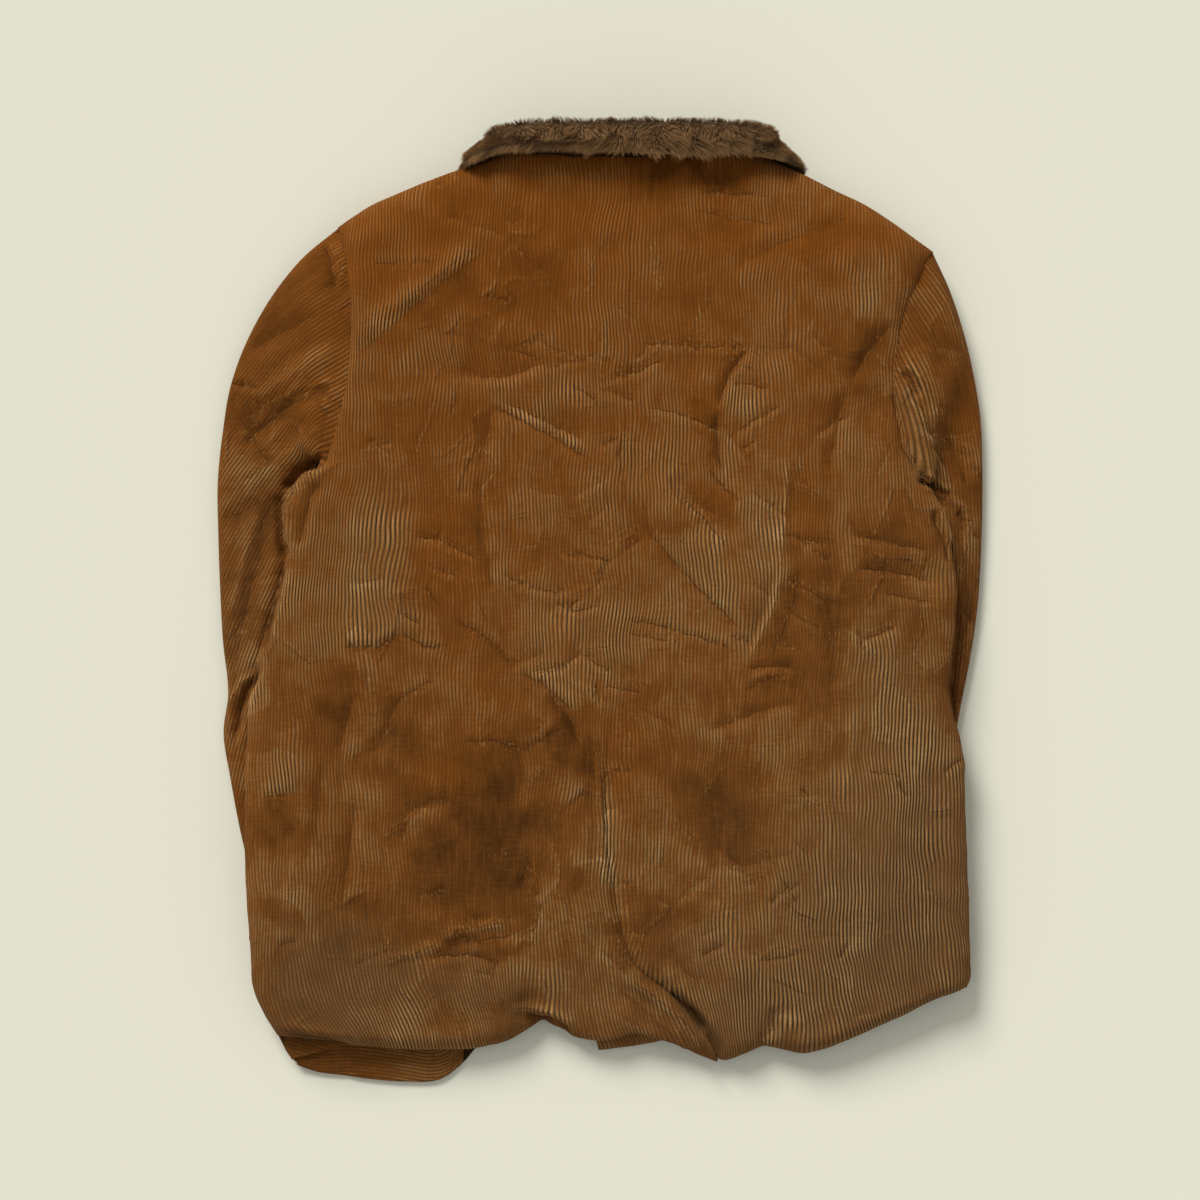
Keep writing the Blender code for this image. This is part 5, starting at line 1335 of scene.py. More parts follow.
@dataclass
class BodyPiece:
    """A half of the back or a front, with its wales raised and its creases pressed in."""

    name: str
    side: Side
    panel: Panel
    grid: Grid
    faces_up: bool
    flat: Pair
    area: float
    rests_on: tuple[str, ...]
    coarse: Grid = (4, 4)

    def row_places(self) -> Array:
        """The panel's rows of the fine grid, closer together on the rims and towards the hem.

        Returns:
            One place for each row.
        """
        knots = (0.0, HEM_RIM_ROWS, HEM_ZONE_ROWS, PANEL_ROWS - SHOULDER_RIM_ROWS, PANEL_ROWS)
        shares = (0.0, *ROW_SHARES, 1.0)
        return np.interp(np.linspace(0, 1, self.grid[1] + 1), shares, knots)

    def wale_distance(self, base: Array, column: Array) -> Array:
        """The distance across the wales, from the jacket's centre.

        Args:
            base: the outer face's points.
            column: the panel's columns there.

        Returns:
            The distance for each point.
        """
        x, y = base[..., 0], base[..., 1]
        return x + self.side.value * self.rim_length(base, column) + CORD.drift(x, y)

    def even_grid(self) -> tuple[Array, Array]:
        """Columns evenly apart, for a piece that lies out of sight.

        Returns:
            The panel's columns and rows, as two grids.
        """
        rim = max(1, round(self.grid[0] * RIM_COLUMN_SHARE))
        rim_places = np.linspace(0, SIDE_RIM_COLUMNS, rim, endpoint=False)
        places = np.linspace(SIDE_RIM_COLUMNS, self.panel.columns, self.grid[0] + 1 - rim)
        return np.meshgrid(np.concatenate([rim_places, places]), self.row_places(), indexing="ij")

    def wale_grid(self) -> tuple[Array, Array]:
        """Columns that follow the wales, three to each, between both ends of every row.

        Returns:
            The panel's columns and rows, as two grids.
        """
        step = WALE_PITCH / COLUMNS_PER_WALE
        rows = self.row_places()
        fine = np.concatenate([
            np.linspace(0, SIDE_RIM_COLUMNS, RIM_SAMPLES, endpoint=False),
            np.linspace(SIDE_RIM_COLUMNS, self.panel.columns, INNER_SAMPLES),
        ])
        column, row = np.meshgrid(fine, rows, indexing="ij")
        outwards = self.side.value * self.wale_distance(self.panel.at(column, row), column)
        outwards = np.maximum.accumulate(outwards[::-1], axis=0)
        inner, outer = outwards[0], outwards[-1]
        low = math.ceil(inner.max() / step + 1)
        high = math.floor(outer.min() / step - 1)
        spare = math.ceil((outer.max() / step - high) / OUTER_CROWDING)
        centre = self.grid[0] - (high - low) - spare
        places = np.concatenate([
            np.linspace(0, 1, centre, endpoint=False),
            1 + np.linspace(0, 1, high - low, endpoint=False),
            2 + np.linspace(0, 1, spare + 1),
        ])
        columns = []
        for number in range(len(rows)):
            stops = (inner[number], low * step, high * step, outer[number])
            wanted = np.interp(places, (0, 1, 2, 3), stops)
            columns.append(np.interp(wanted, outwards[:, number], fine[::-1])[::-1])
        return np.array(columns).T, np.broadcast_to(rows, (len(places), len(rows)))

    @staticmethod
    def rim_length(base: Array, column: Array) -> Array:
        """How much longer the cloth is than its plan on the rounded side rim.

        Args:
            base: the outer face's points.
            column: the panel's columns there.

        Returns:
            The length to add for each point, from the rim's inner end outwards.
        """
        steps = np.diff(base, axis=0)
        extra = np.linalg.norm(steps[..., [0, 2]], axis=-1) - np.abs(steps[..., 0])
        extra = np.where(column[1:] <= SIDE_RIM_COLUMNS, extra, 0.0)
        total = np.cumsum(extra[::-1], axis=0)[::-1]
        return np.pad(total, [(0, 1), (0, 0)])

    def seam_dip(self, base: Array, row: Array) -> Array:
        """How far the cloth is drawn down along its seams.

        Args:
            base: the outer face's points.
            row: the panel's rows there.

        Returns:
            The depth for each point.
        """
        x, y = base[..., 0], base[..., 1]
        seam_line = np.array(CENTRE_SEAM, float)
        centre = np.abs(x - np.interp(y, seam_line[:, 1], seam_line[:, 0]))
        centre = np.where(y > CENTRE_SEAM[0].y, centre, 1.0)
        from_edge = np.cumsum(np.linalg.norm(np.diff(base, axis=0, prepend=base[:1]), axis=-1), axis=0)
        armhole = np.where(row > ARMPIT_ROW, from_edge, 1.0)
        dip = SEAM_DIP * np.exp(-((centre / SEAM_DIP_WIDTH) ** 2))
        return dip + ARMHOLE_DIP * np.exp(-armhole / ARMHOLE_DIP_WIDTH)

    def vent_ease(self, x: Array, y: Array) -> Array:
        """How far the vent's upper part is pressed together, so that its flap lies close to the underlap.

        Args:
            x: places across.
            y: places up.

        Returns:
            The height to add.
        """
        beside = flap_edge_distance(x, y)
        closed = soft_rise(-y, VENT_PRESSED_FROM) * soft_rise(y, VENT_PRESSED_TO)
        if self.side is Side.LEFT:
            return -VENT_EASE * closed * np.exp(-((beside / VENT_EASE_REACH) ** 2))
        return closed * np.maximum(vent_depth(y) - VENT_CLOSED_DEPTH, 0) * under_flap(x, y)

    def build(self) -> Piece:
        """Makes the piece.

        Returns:
            The new object.
        """
        sign = float(self.side.value)
        column, row = self.wale_grid() if self.faces_up else self.even_grid()
        base = self.panel.at(column, row)
        normals = surface_normals(base)
        if (normals[base.shape[0] // 2, base.shape[1] // 2, 2] > 0) != self.faces_up:
            normals = -normals
        x, y = base[..., 0], base[..., 1]
        across = self.wale_distance(base, column)
        uv = np.stack([across, y], axis=-1)
        if self.faces_up:
            pressed, marks = CORD.pressed(x, y, across, CREASES + ARMPIT_FOLDS + tuple(CORD.wrinkles.rows()))
            creases = pressed.height - self.seam_dip(base, row) + self.vent_ease(x, y)
            creases = creases + FINE_SWELL * BACK_SWELL.at(x, y)
            spacing = np.abs(np.gradient(across, axis=0)) * COLUMNS_PER_WALE / WALE_PITCH
            relief = CORD.rib(across) * smooth_step(2.0 - spacing) * CORD.fullness(marks["light"])
        else:
            marks = CORD.plain(x, y)
            creases, relief = np.zeros_like(x), np.zeros_like(x)
        marks["dip"] = np.clip(-creases / DIP_SCALE, -1, 1)
        k, m = self.coarse
        low_base, low_normals = base[::k, ::m], normals[::k, ::m]
        inner = low_base + low_normals * (creases[::k, ::m] - CLOTH)[..., None]
        level = inner[..., 2]
        inner[..., 2] = np.maximum(level, np.where(low_base[..., 2] < ON_SURFACE, CLOTH, level))
        outer = base + normals * (creases + relief)[..., None]
        outer[..., 2] = np.maximum(outer[..., 2], 0.0)
        flip = (sign < 0) != self.faces_up
        apart = np.array([-sign * SEAM_GAP / 4, 0.0, (1.0 if self.faces_up else -1.0) * SEAM_GAP / 2])
        shift = FRAME_SHIFT + apart
        wall = Wall(self.name, outer + shift, inner + shift, self.coarse, uv, marks, flip=flip)
        piece = wall.build()
        fit(piece, self.name)
        return piece


@dataclass
class SleevePiece:
    """A sleeve: a flattened tube from the armhole to the cuff, folded down over itself."""

    side: Side
    rings: Sequence[RingRow]
    back: Panel
    front: Panel
    lean: Sequence[LeanRow]
    along: int = 400
    upper: int = 148
    lower: int = 36
    coarse: Grid = (4, 4)
    flat: Pair = (0.26, 0.66)
    area: float = 0.135

    def shares(self) -> tuple[Array, Array]:
        """The shares between the inner and the outer fold all round, closer together at the folds.

        Returns:
            The shares, and which of them lie in the upper layer.
        """
        layers = []
        for count in (self.upper, self.lower):
            even = np.arange(count) / count
            layers.append((1 - FOLD_CROWDING) * even + FOLD_CROWDING * (1 - np.cos(math.pi * even)) / 2)
        share = np.concatenate([layers[0], 1 - layers[1]])
        return share, np.arange(len(share)) < self.upper

    def armhole(self, share: Array, upper: Array) -> Array:
        """The sleeve's first ring, which follows the body's edge.

        Args:
            share: the shares round the ring.
            upper: which of them lie in the upper layer.

        Returns:
            The ring's points.
        """
        rows = np.linspace(ARMPIT_ROW, PANEL_ROWS, EDGE_SAMPLES)
        ring = np.zeros((len(share), 3))
        for panel, mask in ((self.back, upper), (self.front, ~upper)):
            edge = panel.at(np.zeros_like(rows), rows)
            length = np.linalg.norm(np.diff(edge, axis=0), axis=1)
            length = np.concatenate([[0.0], np.cumsum(length)]) / length.sum()
            for axis in range(3):
                ring[mask, axis] = np.interp(share[mask], length, edge[:, axis])
        ring[:, 0] -= self.side.value * SEAM_OVERLAP
        ring[:, 2] += np.where(upper, -1.0, 1.0) * sleeve_profile(share) * SEAM_STEP
        return ring

    def surface(self) -> tuple[Array, Array, Array]:
        """The outer face.

        Returns:
            Its points along and around the sleeve, the ring's shares, and which lie in the upper layer.
        """
        share, upper = self.shares()
        rings = [self.armhole(share, upper)]
        for row in self.rings[1:]:
            x = row.in_x + (row.out_x - row.in_x) * share + row.bow * 4 * share * (1 - share)
            y = row.in_y + (row.out_y - row.in_y) * share
            fold = row.in_z + (row.out_z - row.in_z) * share
            layer = np.where(upper, row.top, row.bottom)
            z = fold + (layer - fold) * sleeve_profile(share)
            rings.append(np.stack([x, y, z], axis=-1))
        rings = np.array(rings)
        middle = rings.mean(axis=1)
        knots = np.concatenate([[0.0], np.cumsum(np.linalg.norm(np.diff(middle, axis=0), axis=1))])
        places = np.linspace(0, knots[-1], self.along)
        points = hermite(rings, knots, places)
        tuck = points[0] - np.array([self.side.value * SEAM_TUCK, 0.0, 0.0])
        tuck[:, 2] += SEAM_TUCK * np.where(upper, -1.0, 1.0) * sleeve_profile(share)
        return np.concatenate([tuck[None], points]), share, upper

    def wales(self, points: Array) -> tuple[Array, Array]:
        """The distances across and along the wales, which turn from one row of the lean's table to the next.

        Args:
            points: the outer face's points.

        Returns:
            The distance across, and the one along.
        """
        table = np.array(self.lean, float)[::-1]
        ends = points[..., 1].min() - 0.01, points[..., 1].max() + 0.01
        up = np.linspace(*ends, LEAN_SAMPLES)
        angle = np.radians(np.interp(up, table[:, 0], table[:, 1]))
        middle = np.interp(up, table[:, 0], table[:, 2])
        sine, step = np.sin(angle), up[1] - up[0]
        slope = np.gradient(sine, step) / sine
        centre = np.zeros_like(up)
        for number in range(1, len(up)):
            before = number - 1
            lean = 1 / math.tan(angle[before]) + (middle[before] - centre[before]) * slope[before]
            centre[number] = centre[before] + step * lean
        x, y = points[..., 0], points[..., 1]
        across = (x - np.interp(y, up, centre)) * np.interp(y, up, sine)
        steps = np.diff(points, axis=1)
        extra = np.linalg.norm(steps, axis=-1) - np.linalg.norm(steps[..., :2], axis=-1)
        extra = np.pad(np.cumsum(extra, axis=1), [(0, 0), (1, 0)])
        extra = np.abs(extra - extra[:, self.upper : self.upper + 1])
        across = across - self.side.value * extra
        fold = across[:, self.upper : self.upper + 1]
        is_upper = np.arange(points.shape[1]) < self.upper
        return np.where(is_upper, across, 2 * fold - across), y

    def build(self) -> Piece:
        """Makes the sleeve.

        Returns:
            The new object.
        """
        sign = float(self.side.value)
        name = f"sleeve_{self.side.word}"
        base, share, upper = self.surface()
        normals = surface_normals(base, ring=True) * sign
        across, along = self.wales(base)
        steps = np.linalg.norm(np.diff(base, axis=0), axis=-1)
        from_seam = np.pad(np.cumsum(steps, axis=0), [(1, 0), (0, 0)])
        x, y = base[..., 0], base[..., 1]
        rows = SLEEVE_FOLDS + ARMPIT_FOLDS + tuple(SleeveWrinkles(self.side).rows())
        pressed, marks = CORD.pressed(x, y, across, rows)
        top = smooth_step((np.where(upper, 1.0, 0.0) * sleeve_profile(share) - 0.2) / 0.5)[None, :]
        noise = LEFT_SLEEVE_SWELL if sign < 0 else RIGHT_SLEEVE_SWELL
        swell = FINE_SWELL * SLEEVE_SWELL_SHARE * noise.at(x, y)
        creases = (pressed.height + swell) * top - SLEEVE_HEAD_DIP * np.exp(-from_seam / SLEEVE_HEAD_WIDTH)
        k, m = self.coarse
        inner = base[::k, ::m] + (creases[::k, ::m] - CLOTH)[..., None] * normals[::k, ::m]
        inner[..., 2] = np.maximum(np.where(base[::k, ::m, 2] < ON_SURFACE, CLOTH, inner[..., 2]), SEAM_STEP)
        marks["light"] = marks["light"] - SLEEVE_DARKER
        ribs = CORD.rib(across) * CORD.fullness(marks["light"])
        outer = base + normals * (creases + ribs * top)[..., None]
        outer[..., 2] = np.maximum(outer[..., 2], 0.0)
        marks["dip"] = np.clip(-creases / DIP_SCALE, -1, 1)
        uv = np.stack([across, along], axis=-1)
        outer, inner = outer + FRAME_SHIFT, inner + FRAME_SHIFT
        piece = Wall(name, outer, inner, self.coarse, uv, marks, ring=True, flip=sign < 0).build()
        fit(piece, name)
        return piece


@dataclass(frozen=True)
class SleeveWrinkles:
    """Small wrinkles strewn across a sleeve."""

    side: Side
    count: int = 44
    seed: int = 40
    reach: Pair = (-0.28, 0.30)
    spread: float = 0.022
    middle: float = 0.31
    shift: float = 0.10
    shift_zone: Pair = (0.05, 0.28)
    turn: float = 35
    turn_spread: float = 0.6
    spans: Spans = ((0.012, 0.040), (0.4, 1.1), (2.6, 5.0), (0, 0.5))

    def rows(self) -> list[CreaseRow]:
        """Strews the wrinkles.

        Returns:
            The wrinkles as crease rows.
        """
        sign = float(self.side.value)
        rng = np.random.default_rng(self.seed + self.side.value)
        rows = []
        for _ in range(self.count):
            y = rng.uniform(*self.reach)
            middle = sign * (self.middle - self.shift * soft_rise(np.array(y), self.shift_zone))
            x = middle + rng.normal(0, self.spread)
            angle = rng.normal(math.radians(self.turn) * -sign, self.turn_spread)
            rows.append(strewn(rng, x, y, angle, self.spans))
        return rows


def sleeve_profile(share: Array) -> Array:
    """How full a flattened tube is between its two folds."""
    off_middle = np.minimum(np.abs(2 * share - 1), 1.0)
    return (1 - off_middle**FOLD_FULLNESS) ** (1 / FOLD_FULLNESS)


@dataclass
class BodyHalf:
    """One side of the jacket: its back, its front and its sleeve."""

    side: Side
    front_grid: Grid = (80, 140)
    back_grid: Grid = (356, 260)
    front_flat: Pair = (0.34, 0.80)
    back_flat: Pair = (0.32, 0.80)
    area: float = 0.225

    def tables(self) -> tuple[Rows, ...]:
        """The side's tables: side seam, rings, shoulder, and the back's and the front's neck."""
        if self.side is Side.LEFT:
            return LEFT_SIDE_SEAM, LEFT_RINGS, LEFT_SHOULDER, LEFT_BACK_NECK, LEFT_FRONT_NECK
        return RIGHT_SIDE_SEAM, RIGHT_RINGS, RIGHT_SHOULDER, RIGHT_BACK_NECK, RIGHT_FRONT_NECK

    def hole(self, ring: RingRow, level: float) -> Line:
        """One layer's edge of the armhole.

        Args:
            ring: the sleeve's first ring.
            level: the layer's height at its fullest.

        Returns:
            The edge as a line.
        """
        rows = []
        for share in np.linspace(0, 1, ARMHOLE_POINTS):
            fold = ring.in_z + (ring.out_z - ring.in_z) * share
            x = ring.in_x + (ring.out_x - ring.in_x) * share + ring.bow * 4 * share * (1 - share)
            y = ring.in_y + (ring.out_y - ring.in_y) * share
            z = fold + (level - fold) * sleeve_profile(share)
            rows.append(EdgeRow(x, y, z, ARMHOLE_LEAN * math.sin(math.pi * share) ** 0.5))
        return spline(rows)

    def panels(self) -> tuple[Panel, Panel]:
        """The back's and the front's surface.

        Returns:
            Both panels.
        """
        seam, rings, shoulder, back_neck, front_neck = self.tables()
        sign = float(self.side.value)
        left = self.side is Side.LEFT
        armpit = Panel.rows_share(np.array(float(ARMPIT_ROW)))[0]
        vent_top = Panel.rows_share(np.array(float(VENT_TOP_ROW)))[0]
        neck = abs(shoulder[0].x - shoulder[-1].x) / abs(shoulder[0].x - NECK_CENTRE_X)
        vent = VENT_FLAP_EDGE if left else VENT_UNDERLAP_EDGE
        back = Panel(
            side=joined(spline(seam), self.hole(rings[0], rings[0].top), armpit),
            centre=joined(spline(vent), spline(CENTRE_SEAM), vent_top),
            hem=spline(LEFT_BACK_HEM if left else RIGHT_BACK_HEM),
            top=joined(spline(shoulder), spline(back_neck), neck),
            height=back_height if left else right_back_height,
            columns=BACK_COLUMNS,
            rim_width=SIDE_RIM,
        )
        front = Panel(
            side=joined(spline(seam), self.hole(rings[0], rings[0].bottom), armpit),
            centre=spline([PlanRow(row.x - sign * FRONT_LAP, row.y) for row in CENTRE_FRONT]),
            hem=spline(LEFT_FRONT_HEM if left else RIGHT_FRONT_HEM),
            top=joined(spline(shoulder), spline(front_neck), neck),
            height=cover_height if left else right_cover_height,
            columns=FRONT_COLUMNS,
            rim_width=UNDER_RIM,
        )
        return back, front

    def build(self, cloth: Finish) -> list[Piece]:
        """Makes the side's three pieces.

        Args:
            cloth: the corduroy.

        Returns:
            The pieces.
        """
        word = self.side.word
        back, front = self.panels()
        under = BodyPiece(
            name=f"front_{word}", side=self.side, panel=front, grid=self.front_grid, faces_up=False,
            flat=self.front_flat, area=self.area, rests_on=("floor",),
        )
        over = BodyPiece(
            name=f"back_{word}", side=self.side, panel=back, grid=self.back_grid, faces_up=True,
            flat=self.back_flat, area=self.area, rests_on=(f"front_{word}_cloth",),
        )
        rings = self.tables()[1]
        lean = LEFT_LEAN if self.side is Side.LEFT else RIGHT_LEAN
        sleeve = SleevePiece(side=self.side, rings=rings, back=back, front=front, lean=lean)
        pieces = [under.build(), over.build(), sleeve.build()]
        for piece in pieces:
            piece.data.materials.append(cloth)
            LOG.info("%s: %d faces", piece.name, len(piece.data.polygons))
        return pieces


def plain_wall(name: str, outer: Array, inner: Array, cloth: Finish, uv: Array) -> Piece:
    """A small cloth piece with as fine an inner face as its outer one.

    Args:
        name: its node's name.
        outer: its outer face's points.
        inner: its inner face's points.
        cloth: its finish.
        uv: the distances across and along its wales.

    Returns:
        The new object.
    """
    x, y = outer[..., 0], outer[..., 1]
    marks = CORD.plain(x, y)
    marks["dip"] = np.zeros_like(x)
    piece = Wall(name, outer + FRAME_SHIFT, inner + FRAME_SHIFT, (1, 1), uv, marks).build()
    turn_outwards(piece.data)
    piece.data.materials.append(cloth)
    fit(piece, name)
    LOG.info("%s: %d faces", name, len(piece.data.polygons))
    return piece


def turn_outwards(mesh: Mesh) -> None:
    """Flips a closed mesh whose faces point in, which its volume shows.

    Args:
        mesh: the mesh.
    """
    mesh.calc_loop_triangles()
    points = np.array([vertex.co[:] for vertex in mesh.vertices])
    triangles = points[[triangle.vertices[:] for triangle in mesh.loop_triangles]]
    if np.einsum("ij,ij->i", triangles[:, 0], np.cross(triangles[:, 1], triangles[:, 2])).sum() < 0:
        mesh.flip_normals()


@dataclass(frozen=True)
class HemFacing:
    """The band sewn inside the left front's hem, and the corner of the hem turned in beside it."""

    steps: int = 90
    depth_steps: int = 20
    reach: float = 0.018
    overhang: float = 0.0014
    corner_reach: float = 0.05
    # reaches and light: the painted shade on the facing and the turned-in corner, darkest towards the side
    # seam.
    reaches: Pair = (-0.28, -0.15)
    light: Pair = (-0.60, 0.10)
    warm: float = 0.05
    ripple: float = 0.0006
    pleat: float = 0.0010
    pleat_width: float = 0.0035

    def shaded(self, piece: Piece) -> None:
        """Gives a piece a darker tone, darkest towards the side seam: painted shade where it lies under the
        back's hem.
        """
        x = np.array([vertex.co.x for vertex in piece.data.vertices])
        set_values(piece.data, "light", np.interp(x, self.reaches, self.light))
        set_values(piece.data, "warm", np.full(len(x), self.warm))

    def band(self, cloth: Finish) -> Piece:
        """Makes the band.

        Args:
            cloth: its finish.

        Returns:
            The new object.
        """
        first, last = FACING_SHARES
        line = spline(LEFT_FRONT_HEM)(np.linspace(first - self.reach, last + self.reach, self.steps + 1))
        up = np.linspace(-self.overhang, FACING_INSET + FACING_DEPTH, self.depth_steps + 1)
        x = np.repeat(line[:, :1], len(up), axis=1)
        y = line[:, 1:2] + up
        low = np.stack([x, y, line[:, 2:3] + CLOTH + FACING_GAP + 0 * y], axis=-1)
        edge = smooth_step((up + self.overhang) / FACING_DEPTH * 5)[None, :]
        pleat = np.exp(-(((x - FACING_PLEAT_X) / self.pleat_width) ** 2))
        ripple = self.ripple * np.sin(x * 190) * np.sin(up / FACING_DEPTH * math.pi)[None, :]
        top = low.copy()
        top[..., 2] += FACING_CLOTH * (0.55 + 0.45 * edge) + ripple - self.pleat * pleat
        uv = np.stack([up[None, :] + 0.0 * x + 0.004 * np.sin(x * 40), x], axis=-1)
        piece = plain_wall("hem_facing_left", top, low, cloth, uv)
        self.shaded(piece)
        return piece

    def corner(self, cloth: Finish) -> Piece:
        """Makes the turned-in corner.

        Args:
            cloth: its finish.

        Returns:
            The new object.
        """
        side_end, tip = np.array(HEM_CORNER_SIDE, float), np.array(HEM_CORNER_TIP, float)
        s, t = np.meshgrid(np.linspace(-self.corner_reach, 1, 41), np.linspace(0, 1, 25), indexing="ij")
        s, t = s[..., None], t[..., None]
        top = (1 - t) * ((1 - s) * side_end[0] + s * tip[0]) + t * ((1 - s) * side_end[1] + s * tip[1])
        top[..., 2] += HEM_CORNER_BULGE * np.sin(math.pi * s[..., 0]) * np.sin(math.pi * t[..., 0])
        low = top - np.array([0.0, 0.0, FACING_CLOTH])
        x, y = top[..., 0], top[..., 1]
        uv = np.stack([y * 0.95 + x * 0.25, x], axis=-1)
        piece = plain_wall("hem_corner_left", top, low, cloth, uv)
        self.shaded(piece)
        return piece


class Roots(NamedTuple):
    """The tufts' roots, the ways along, down and out of the pile there, its depth, and how near the edge is.

    rim tells which tufts stand along the rim, and level how far up its side.
    """

    point: Array
    side: Array
    fall: Array
    normal: Array
    depth: Array
    edge: Array
    rim: Array
    level: Array


@dataclass(frozen=True)
class Collar:
    """The collar: an undercollar in cord, and over it a thick pile of combed tufts."""

    stations: int = 112
    steps: int = 40
    tufts: int = 45000
    clumps: int = 9500
    bare: float = 0.05
    rooted: float = 0.0008
    radii: Pair = (0.00032, 0.00058)
    heights: Pair = (0.76, 0.96)
    lean: float = 0.0056
    lean_swing: float = 0.0024
    edge_lean: float = 0.0034
    sway: float = 0.0046
    stray: float = 0.0007
    drawn: Pair = (0.05, 0.45)
    clearance: float = 0.0004
    tuck: float = 0.0050
    base_share: float = 0.40
    base_tint: float = 0.25
    tint_swing: float = 0.16
    edge_fall: float = 0.35
    end_rise: float = 0.30
    end_zone: Pair = (0.10, 0.03)
    edge_zone: Pair = (0.88, 0.12)
    brink: float = 0.999
    spread: float = 0.7
    rim_share: float = 0.20
    rim_length: float = 0.0045
    hang: float = 0.0068
    hang_zone: Pair = (-0.03, 0.04)
    seed: int = 5

    def surface(self) -> tuple[Array, Array]:
        """The collar's middle layer and its normals, which point to the outside of its fold.

        Returns:
            The points and the normals.
        """
        numbers = np.arange(len(COLLAR_ROWS))
        places = np.linspace(0, numbers[-1], self.stations + 1)
        rows = spline(COLLAR_ROWS)(np.interp(places, numbers, plan_shares(COLLAR_ROWS)))
        seam, fold, edge = rows[:, 0:3], rows[:, 3:6], rows[:, 6:9]
        rise = unit(fold - seam)
        turn = np.radians(rows[:, 9])
        over = np.stack([np.sin(turn), np.zeros_like(turn), np.cos(turn)], axis=-1)
        over = unit(over - np.sum(over * rise, axis=-1, keepdims=True) * rise)
        radius = COLLAR_FOLD_RADIUS
        turned = fold - radius * rise + 2 * radius * over
        quarter = turned + (edge - turned) / 4
        controls = np.stack([seam, fold - radius * rise, fold + radius * over, turned, quarter, edge], axis=1)
        lines = []
        for station in controls:
            lengths = np.linalg.norm(np.diff(station, axis=0), axis=1)
            knots = np.concatenate([[0.0], np.cumsum(lengths)]) / lengths.sum()
            lines.append(hermite(station, knots, np.linspace(0, 1, self.steps + 1)))
        middle = np.array(lines)
        normals = surface_normals(middle)
        if np.sum(normals[:, -2] * over) < 0:
            normals = -normals
        return middle, normals

    def pile_depth(self, share: Array) -> Array:
        """The pile's depth at a share of the way from the neck seam to the edge."""
        return PILE_EDGE_DEPTH + (PILE_DEPTH - PILE_EDGE_DEPTH) * np.sin(math.pi * share) ** 0.5

    def under(self, cloth: Finish) -> Piece:
        """Makes the undercollar.

        Args:
            cloth: its finish.

        Returns:
            The new object.
        """
        middle, normals = self.surface()
        first = middle[:, :1] - self.tuck * unit(middle[:, 1:2] - middle[:, :1])
        middle = np.concatenate([first, middle], axis=1)
        normals = np.concatenate([normals[:, :1], normals], axis=1)
        half = COLLAR_CLOTH / 2
        x, y = middle[..., 0], middle[..., 1]
        uv = np.stack([(x + y) * 0.7, (x - y) * 0.7], axis=-1)
        piece = plain_wall("collar_under", middle + half * normals, middle - half * normals, cloth, uv)
        # The whole undercollar takes the near-black inside colour: painted shade under the collar's fall.
        set_values(piece.data, "inside", np.ones(len(piece.data.vertices)))
        return piece

    def pile(self, pile: Finish) -> list[Piece]:
        """Makes the pile's ground cloth and its tufts.

        Args:
            pile: its finish.

        Returns:
            Both objects.
        """
        middle, normals = self.surface()
        depth = self.pile_depth(np.linspace(0, 1, self.steps + 1))[None, :, None]
        start = COLLAR_CLOTH / 2 + PILE_GAP
        near = middle + start * normals
        ground = middle + (start + self.base_share * depth) * normals
        near, ground = near[:, 2:], ground[:, 2:]
        x, y = ground[..., 0], ground[..., 1]
        uv = np.stack([x, y], axis=-1)
        base = plain_wall("collar_pile", ground, near, pile, uv)
        # The ground cloth takes the pile's root colour, its painted shade.
        for key, value in (("tint", self.base_tint), ("tip", 0.0)):
            set_values(base.data, key, np.full(len(base.data.vertices), value))
        tufts = self.make_tufts(pile)
        return [base, tufts]

    def roots(self, rng: np.random.Generator) -> Roots:
        """Strews the tufts' roots over the ground cloth and along its rim.

        Args:
            rng: the random numbers.

        Returns:
            The roots.
        """
        middle, normals = self.surface()
        count = self.tufts
        along = rng.uniform(1 - self.brink, self.brink, count) * self.stations
        share = self.bare + (1 - self.bare) * rng.uniform(0, 1, count) ** self.spread
        rim = rng.uniform(0, 1, count) < self.rim_share
        share = np.where(rim, self.brink, share)
        down = np.minimum(share, self.brink) * self.steps
        low_i, low_j = along.astype(int), down.astype(int)
        f, g = (along - low_i)[:, None], (down - low_j)[:, None]

        def pick(grid: Array) -> Array:
            """The grid's values at the tufts' roots."""
            near = grid[low_i, low_j] * (1 - g) + grid[low_i, low_j + 1] * g
            return near * (1 - f) + (grid[low_i + 1, low_j] * (1 - g) + grid[low_i + 1, low_j + 1] * g) * f

        side, fall = unit(pick(np.gradient(middle, axis=0))), unit(pick(np.gradient(middle, axis=1)))
        normal, depth = unit(pick(normals)), self.pile_depth(share)
        level = np.where(rim, rng.uniform(0, 1, count), 1.0)
        start = COLLAR_CLOTH / 2 + PILE_GAP + level * self.base_share * depth - self.rooted
        root = pick(middle) + start[:, None] * normal
        edge = soft_rise(share, self.edge_zone)
        return Roots(root, side, fall, normal, depth, edge, rim, level)

